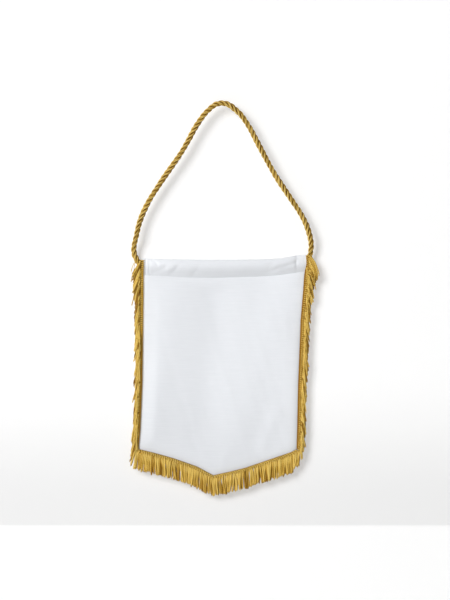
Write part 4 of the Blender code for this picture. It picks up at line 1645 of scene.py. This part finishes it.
@dataclass
class Studio:
    """The pale wall close behind the pennant, the floor well below it, the lights and the camera."""

    wall_at: float = 0.0098
    set_back: float = 0.0066
    bend_at: Pair = (-0.205, -0.170)
    wall_half: float = 0.95
    wall_top: float = 1.30
    floor_at: float = -1.500
    floor_half: float = 30.0
    cove: float = 0.060
    view_height: float = 0.762
    view_centre: Pair = (0.0038, -0.2474)
    lens: float = 200.0
    sensor: float = 36.0
    lit_at: Triple = (0.0, 0.0, -0.30)
    sky: float = 0.10
    sky_seen: float = 0.82

    def sheet(self, name: str, points: Array, finish: Material) -> Piece:
        """A stage surface from a grid of points.

        Args:
            name: the object's name.
            points: the grid, as (row, column, axis).
            finish: its finish.

        Returns:
            The object.
        """
        rows, columns = points.shape[:2]
        cells = cells_of(np.arange(rows * columns).reshape(rows, columns))
        mesh = bpy.data.meshes.new(name)
        mesh.from_pydata(points.reshape(-1, 3).tolist(), [], cells.tolist())
        mesh.polygons.foreach_set("use_smooth", np.ones(len(cells), bool))
        mesh.materials.append(finish)
        piece = placed(name, mesh)
        return piece

    def build_wall(self, finish: Material) -> Piece:
        """The wall, set back above a soft bend, with a quarter-round cove down to the floor in front of it.

        Args:
            finish: its finish.

        Returns:
            The wall.
        """
        turn = np.linspace(0.0, pi / 2.0, 12)
        cove = np.column_stack((self.wall_at - self.cove * (1.0 - np.cos(turn)),
                                self.floor_at + 0.001 + self.cove * (1.0 - np.sin(turn))))
        share = np.linspace(0.0, 1.0, 16)
        bend = np.column_stack((self.wall_at + self.set_back * ease(share),
                                self.bend_at[0] + share * (self.bend_at[1] - self.bend_at[0])))
        profile = np.vstack(((self.wall_at + self.set_back, self.wall_top), bend[::-1], cove))
        across = np.array((-self.wall_half, self.wall_half))
        grid = np.stack(np.broadcast_arrays(across, profile[:, :1], profile[:, 1:]), -1)
        return self.sheet("wall", grid[::-1], finish)

    def build_floor(self, finish: Material) -> Piece:
        """The floor: one large flat square."""
        across, depth = np.meshgrid(*([(-self.floor_half, self.floor_half)] * 2))
        return self.sheet("floor", np.stack((across, depth, np.full((2, 2), self.floor_at)), -1), finish)

    def build_camera(self) -> None:
        """The camera, square on to the cloth and level, at the photograph's height and distance."""
        data = bpy.data.cameras.new("camera")
        data.lens = self.lens
        data.sensor_fit = "VERTICAL"
        data.sensor_width = self.sensor
        data.sensor_height = self.sensor
        camera = placed("camera", data)
        away = self.view_height * self.lens / self.sensor
        camera.location = (self.view_centre[0], -away, self.view_centre[1])
        camera.rotation_euler = (pi / 2.0, 0.0, 0.0)
        bpy.context.scene.camera = camera

    def light(self, name: str, place: Triple, size: float, power: float) -> None:
        """A square soft light turned towards the middle of the cloth.

        Args:
            name: the light's name.
            place: where it stands.
            size: its width.
            power: its power in watts.
        """
        data = bpy.data.lights.new(name, "AREA")
        data.size = size
        data.energy = power
        lamp = placed(name, data)
        x, y, z = np.array(self.lit_at) - np.array(place)
        lamp.location = place
        raised = float(np.arctan2(z, np.hypot(x, y)))
        lamp.rotation_euler = (pi / 2.0 + raised, 0.0, float(np.arctan2(-x, y)))

    def build_sky(self) -> None:
        """An even pale surround, brighter to the camera than as a light."""
        world = bpy.data.worlds.new("surround")
        world.use_nodes = True
        nodes = Nodes(world.node_tree)
        seen = nodes.add("ShaderNodeLightPath").outputs["Is Camera Ray"]
        shader = world.node_tree.nodes["Background"]
        shader.inputs["Color"].default_value = (1.0, 1.0, 1.0, 1.0)
        nodes.feed(shader.inputs["Strength"], nodes.math("MULTIPLY_ADD", seen, self.sky_seen, self.sky))
        bpy.context.scene.world = world

    def build(self) -> None:
        """The whole studio."""
        wall = StageFinish("Wall white", (0.655, 0.655, 0.655), 0.40, see_through_behind=True, shaded=0.855)
        floor = StageFinish("Floor pale", (0.86, 0.86, 0.85), 0.5, only_seen=True)
        self.build_camera()
        self.build_wall(wall.build())
        self.build_floor(floor.build())
        self.light("key", (-3.36, -5.12, 2.20), size=3.04, power=366.0)
        self.light("fill", (1.60, -2.20, 0.10), size=1.60, power=2.0)
        self.light("behind", (-1.10, 2.20, 0.60), size=1.40, power=14.0)
        self.build_sky()
        bpy.context.scene.view_settings.view_transform = "Standard"


YARN_LOOK = {"bump": 0.6, "roughness": 0.45, "varied": 0.16, "sheen_roughness": 0.4, "patches": 60.0,
             "handled": 0.30}
FRINGE_GOLD = SpunGold(
    name="Fringe gold", dark=(0.21, 0.085, 0.006), middle=(0.69, 0.395, 0.048), light=(1.0, 0.735, 0.20),
    plies=2.0, twist=420.0, depth=0.00045, sheen=0.03, **YARN_LOOK,
)
CORD_GOLD = SpunGold(
    name="Cord gold", dark=(0.14, 0.052, 0.004), middle=(0.57, 0.33, 0.042), light=(0.98, 0.74, 0.24),
    plies=10.0, twist=0.0, depth=0.00030, sheen=0.0, **YARN_LOOK,
)
CLOTH_WHITE = WovenWhite(
    name="Cloth white", colour=(0.888, 0.908, 0.944), shade=(0.824, 0.846, 0.886), double=0.86,
    pitch=0.0005, rib=0.0017, depth=0.00006, bump=0.5, roughness=0.72, varied=0.10, sheen=0.12,
    sheen_roughness=0.5, patches=14.0, handled=0.03,
)

ON_LEFT = Heading(root=0.0050, width=0.0056, inset=0.0010, front=-0.0022, front_below=-0.0032,
                  root_below=0.0016, shaded_below=0.56, stitch_rows=((0.0008, 8.0),), stitch_yarn=0.00050,
                  edge_tones=(0.1, 0.2, 0.5, 0.8), ground=0.95)
ON_RIGHT = Heading(root=0.0047, width=0.0053, front=-0.0032, front_below=-0.0032,
                   stitch_rows=((0.0031, 8.0),), edge_tones=(0.0, 0.0, 0.0, 0.2), ground=0.70)
ON_FOOT = Heading(root=0.0036, tuck=0.0005, front=-0.0031, front_below=-0.0031,
                  stitch_rows=((0.0014, 38.0), (0.0029, -38.0)), stitch_pitch=0.0029, stitch_length=0.0021,
                  stitch_yarn=0.00084, edge_tones=(0.0, 0.0, 0.05, 0.1), ground=0.1, grooved=0.28)
SIDE_YARN = {"contrast": 0.54, "radius": 0.00074, "lock_size": 3, "toss": 2.5, "loft": 0.0008,
             "gather": 0.25, "scatter": 0.55, "clumps": 2.4, "twist_glints": 0.24, "bow": 0.0013}
FOOT_YARN = {"contrast": 0.22, "toss": 3.5, "lightness": 0.69, "loft": 0.0004}
RUNS = (
    FringeRun(Run.LEFT, 112, 11, 0.0215, ON_LEFT, lightness=0.60, closed=0.5, **SIDE_YARN),
    FringeRun(Run.BOTTOM_LEFT, 42, 12, 0.0228, ON_FOOT, **FOOT_YARN),
    FringeRun(Run.BOTTOM_RIGHT, 46, 13, 0.0226, ON_FOOT, cut=0.22, **FOOT_YARN),
    FringeRun(Run.RIGHT, 114, 14, 0.0215, ON_RIGHT, lightness=0.75, closed=0.8, cut=0.42, **SIDE_YARN),
)


def dress(piece: Piece, slot: Slot, *nodes: str) -> Piece:
    """Lets a piece ride on the root body, in place of CAD nodes.

    Args:
        piece: the piece.
        slot: the record's material slot; not used.
        nodes: the CAD nodes that it stands for, if any.

    Returns:
        The piece.
    """
    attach(piece, "root")
    if nodes:
        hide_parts(*nodes)
    piece.data.calc_loop_triangles()
    LOG.info("%s: %d triangles", piece.name, len(piece.data.loop_triangles))
    return piece


def main() -> dict[str, Piece]:
    """Builds the studio and every piece.

    Returns:
        The pieces by name.
    """
    logging.basicConfig(level=logging.INFO, format="%(name)s %(message)s")
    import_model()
    Studio().build()
    groups = Groups(spun_fibre_group(), weave_group(), handling_group())
    white, fringe_gold, cord_gold = (look.build(groups) for look in (CLOTH_WHITE, FRINGE_GOLD, CORD_GOLD))

    rope = HangingCord()
    cord = dress(rope.build(cord_gold), Slot.CORD, "cord")

    panel = ClothPanel()
    cloth = dress(panel.build(white), Slot.CLOTH, "cloth")
    thread = dress(Stitching().rows(panel).to_object("white_stitching", YARN_MAP, white), Slot.CLOTH)
    fringes = [dress(run.build(fringe_gold), Slot.FRINGE, f"fringe_{run.run.value}") for run in RUNS]

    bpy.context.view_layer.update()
    return {piece.name: piece for piece in (cord, cloth, thread, *fringes)}


if __name__ == "__main__":
    main()
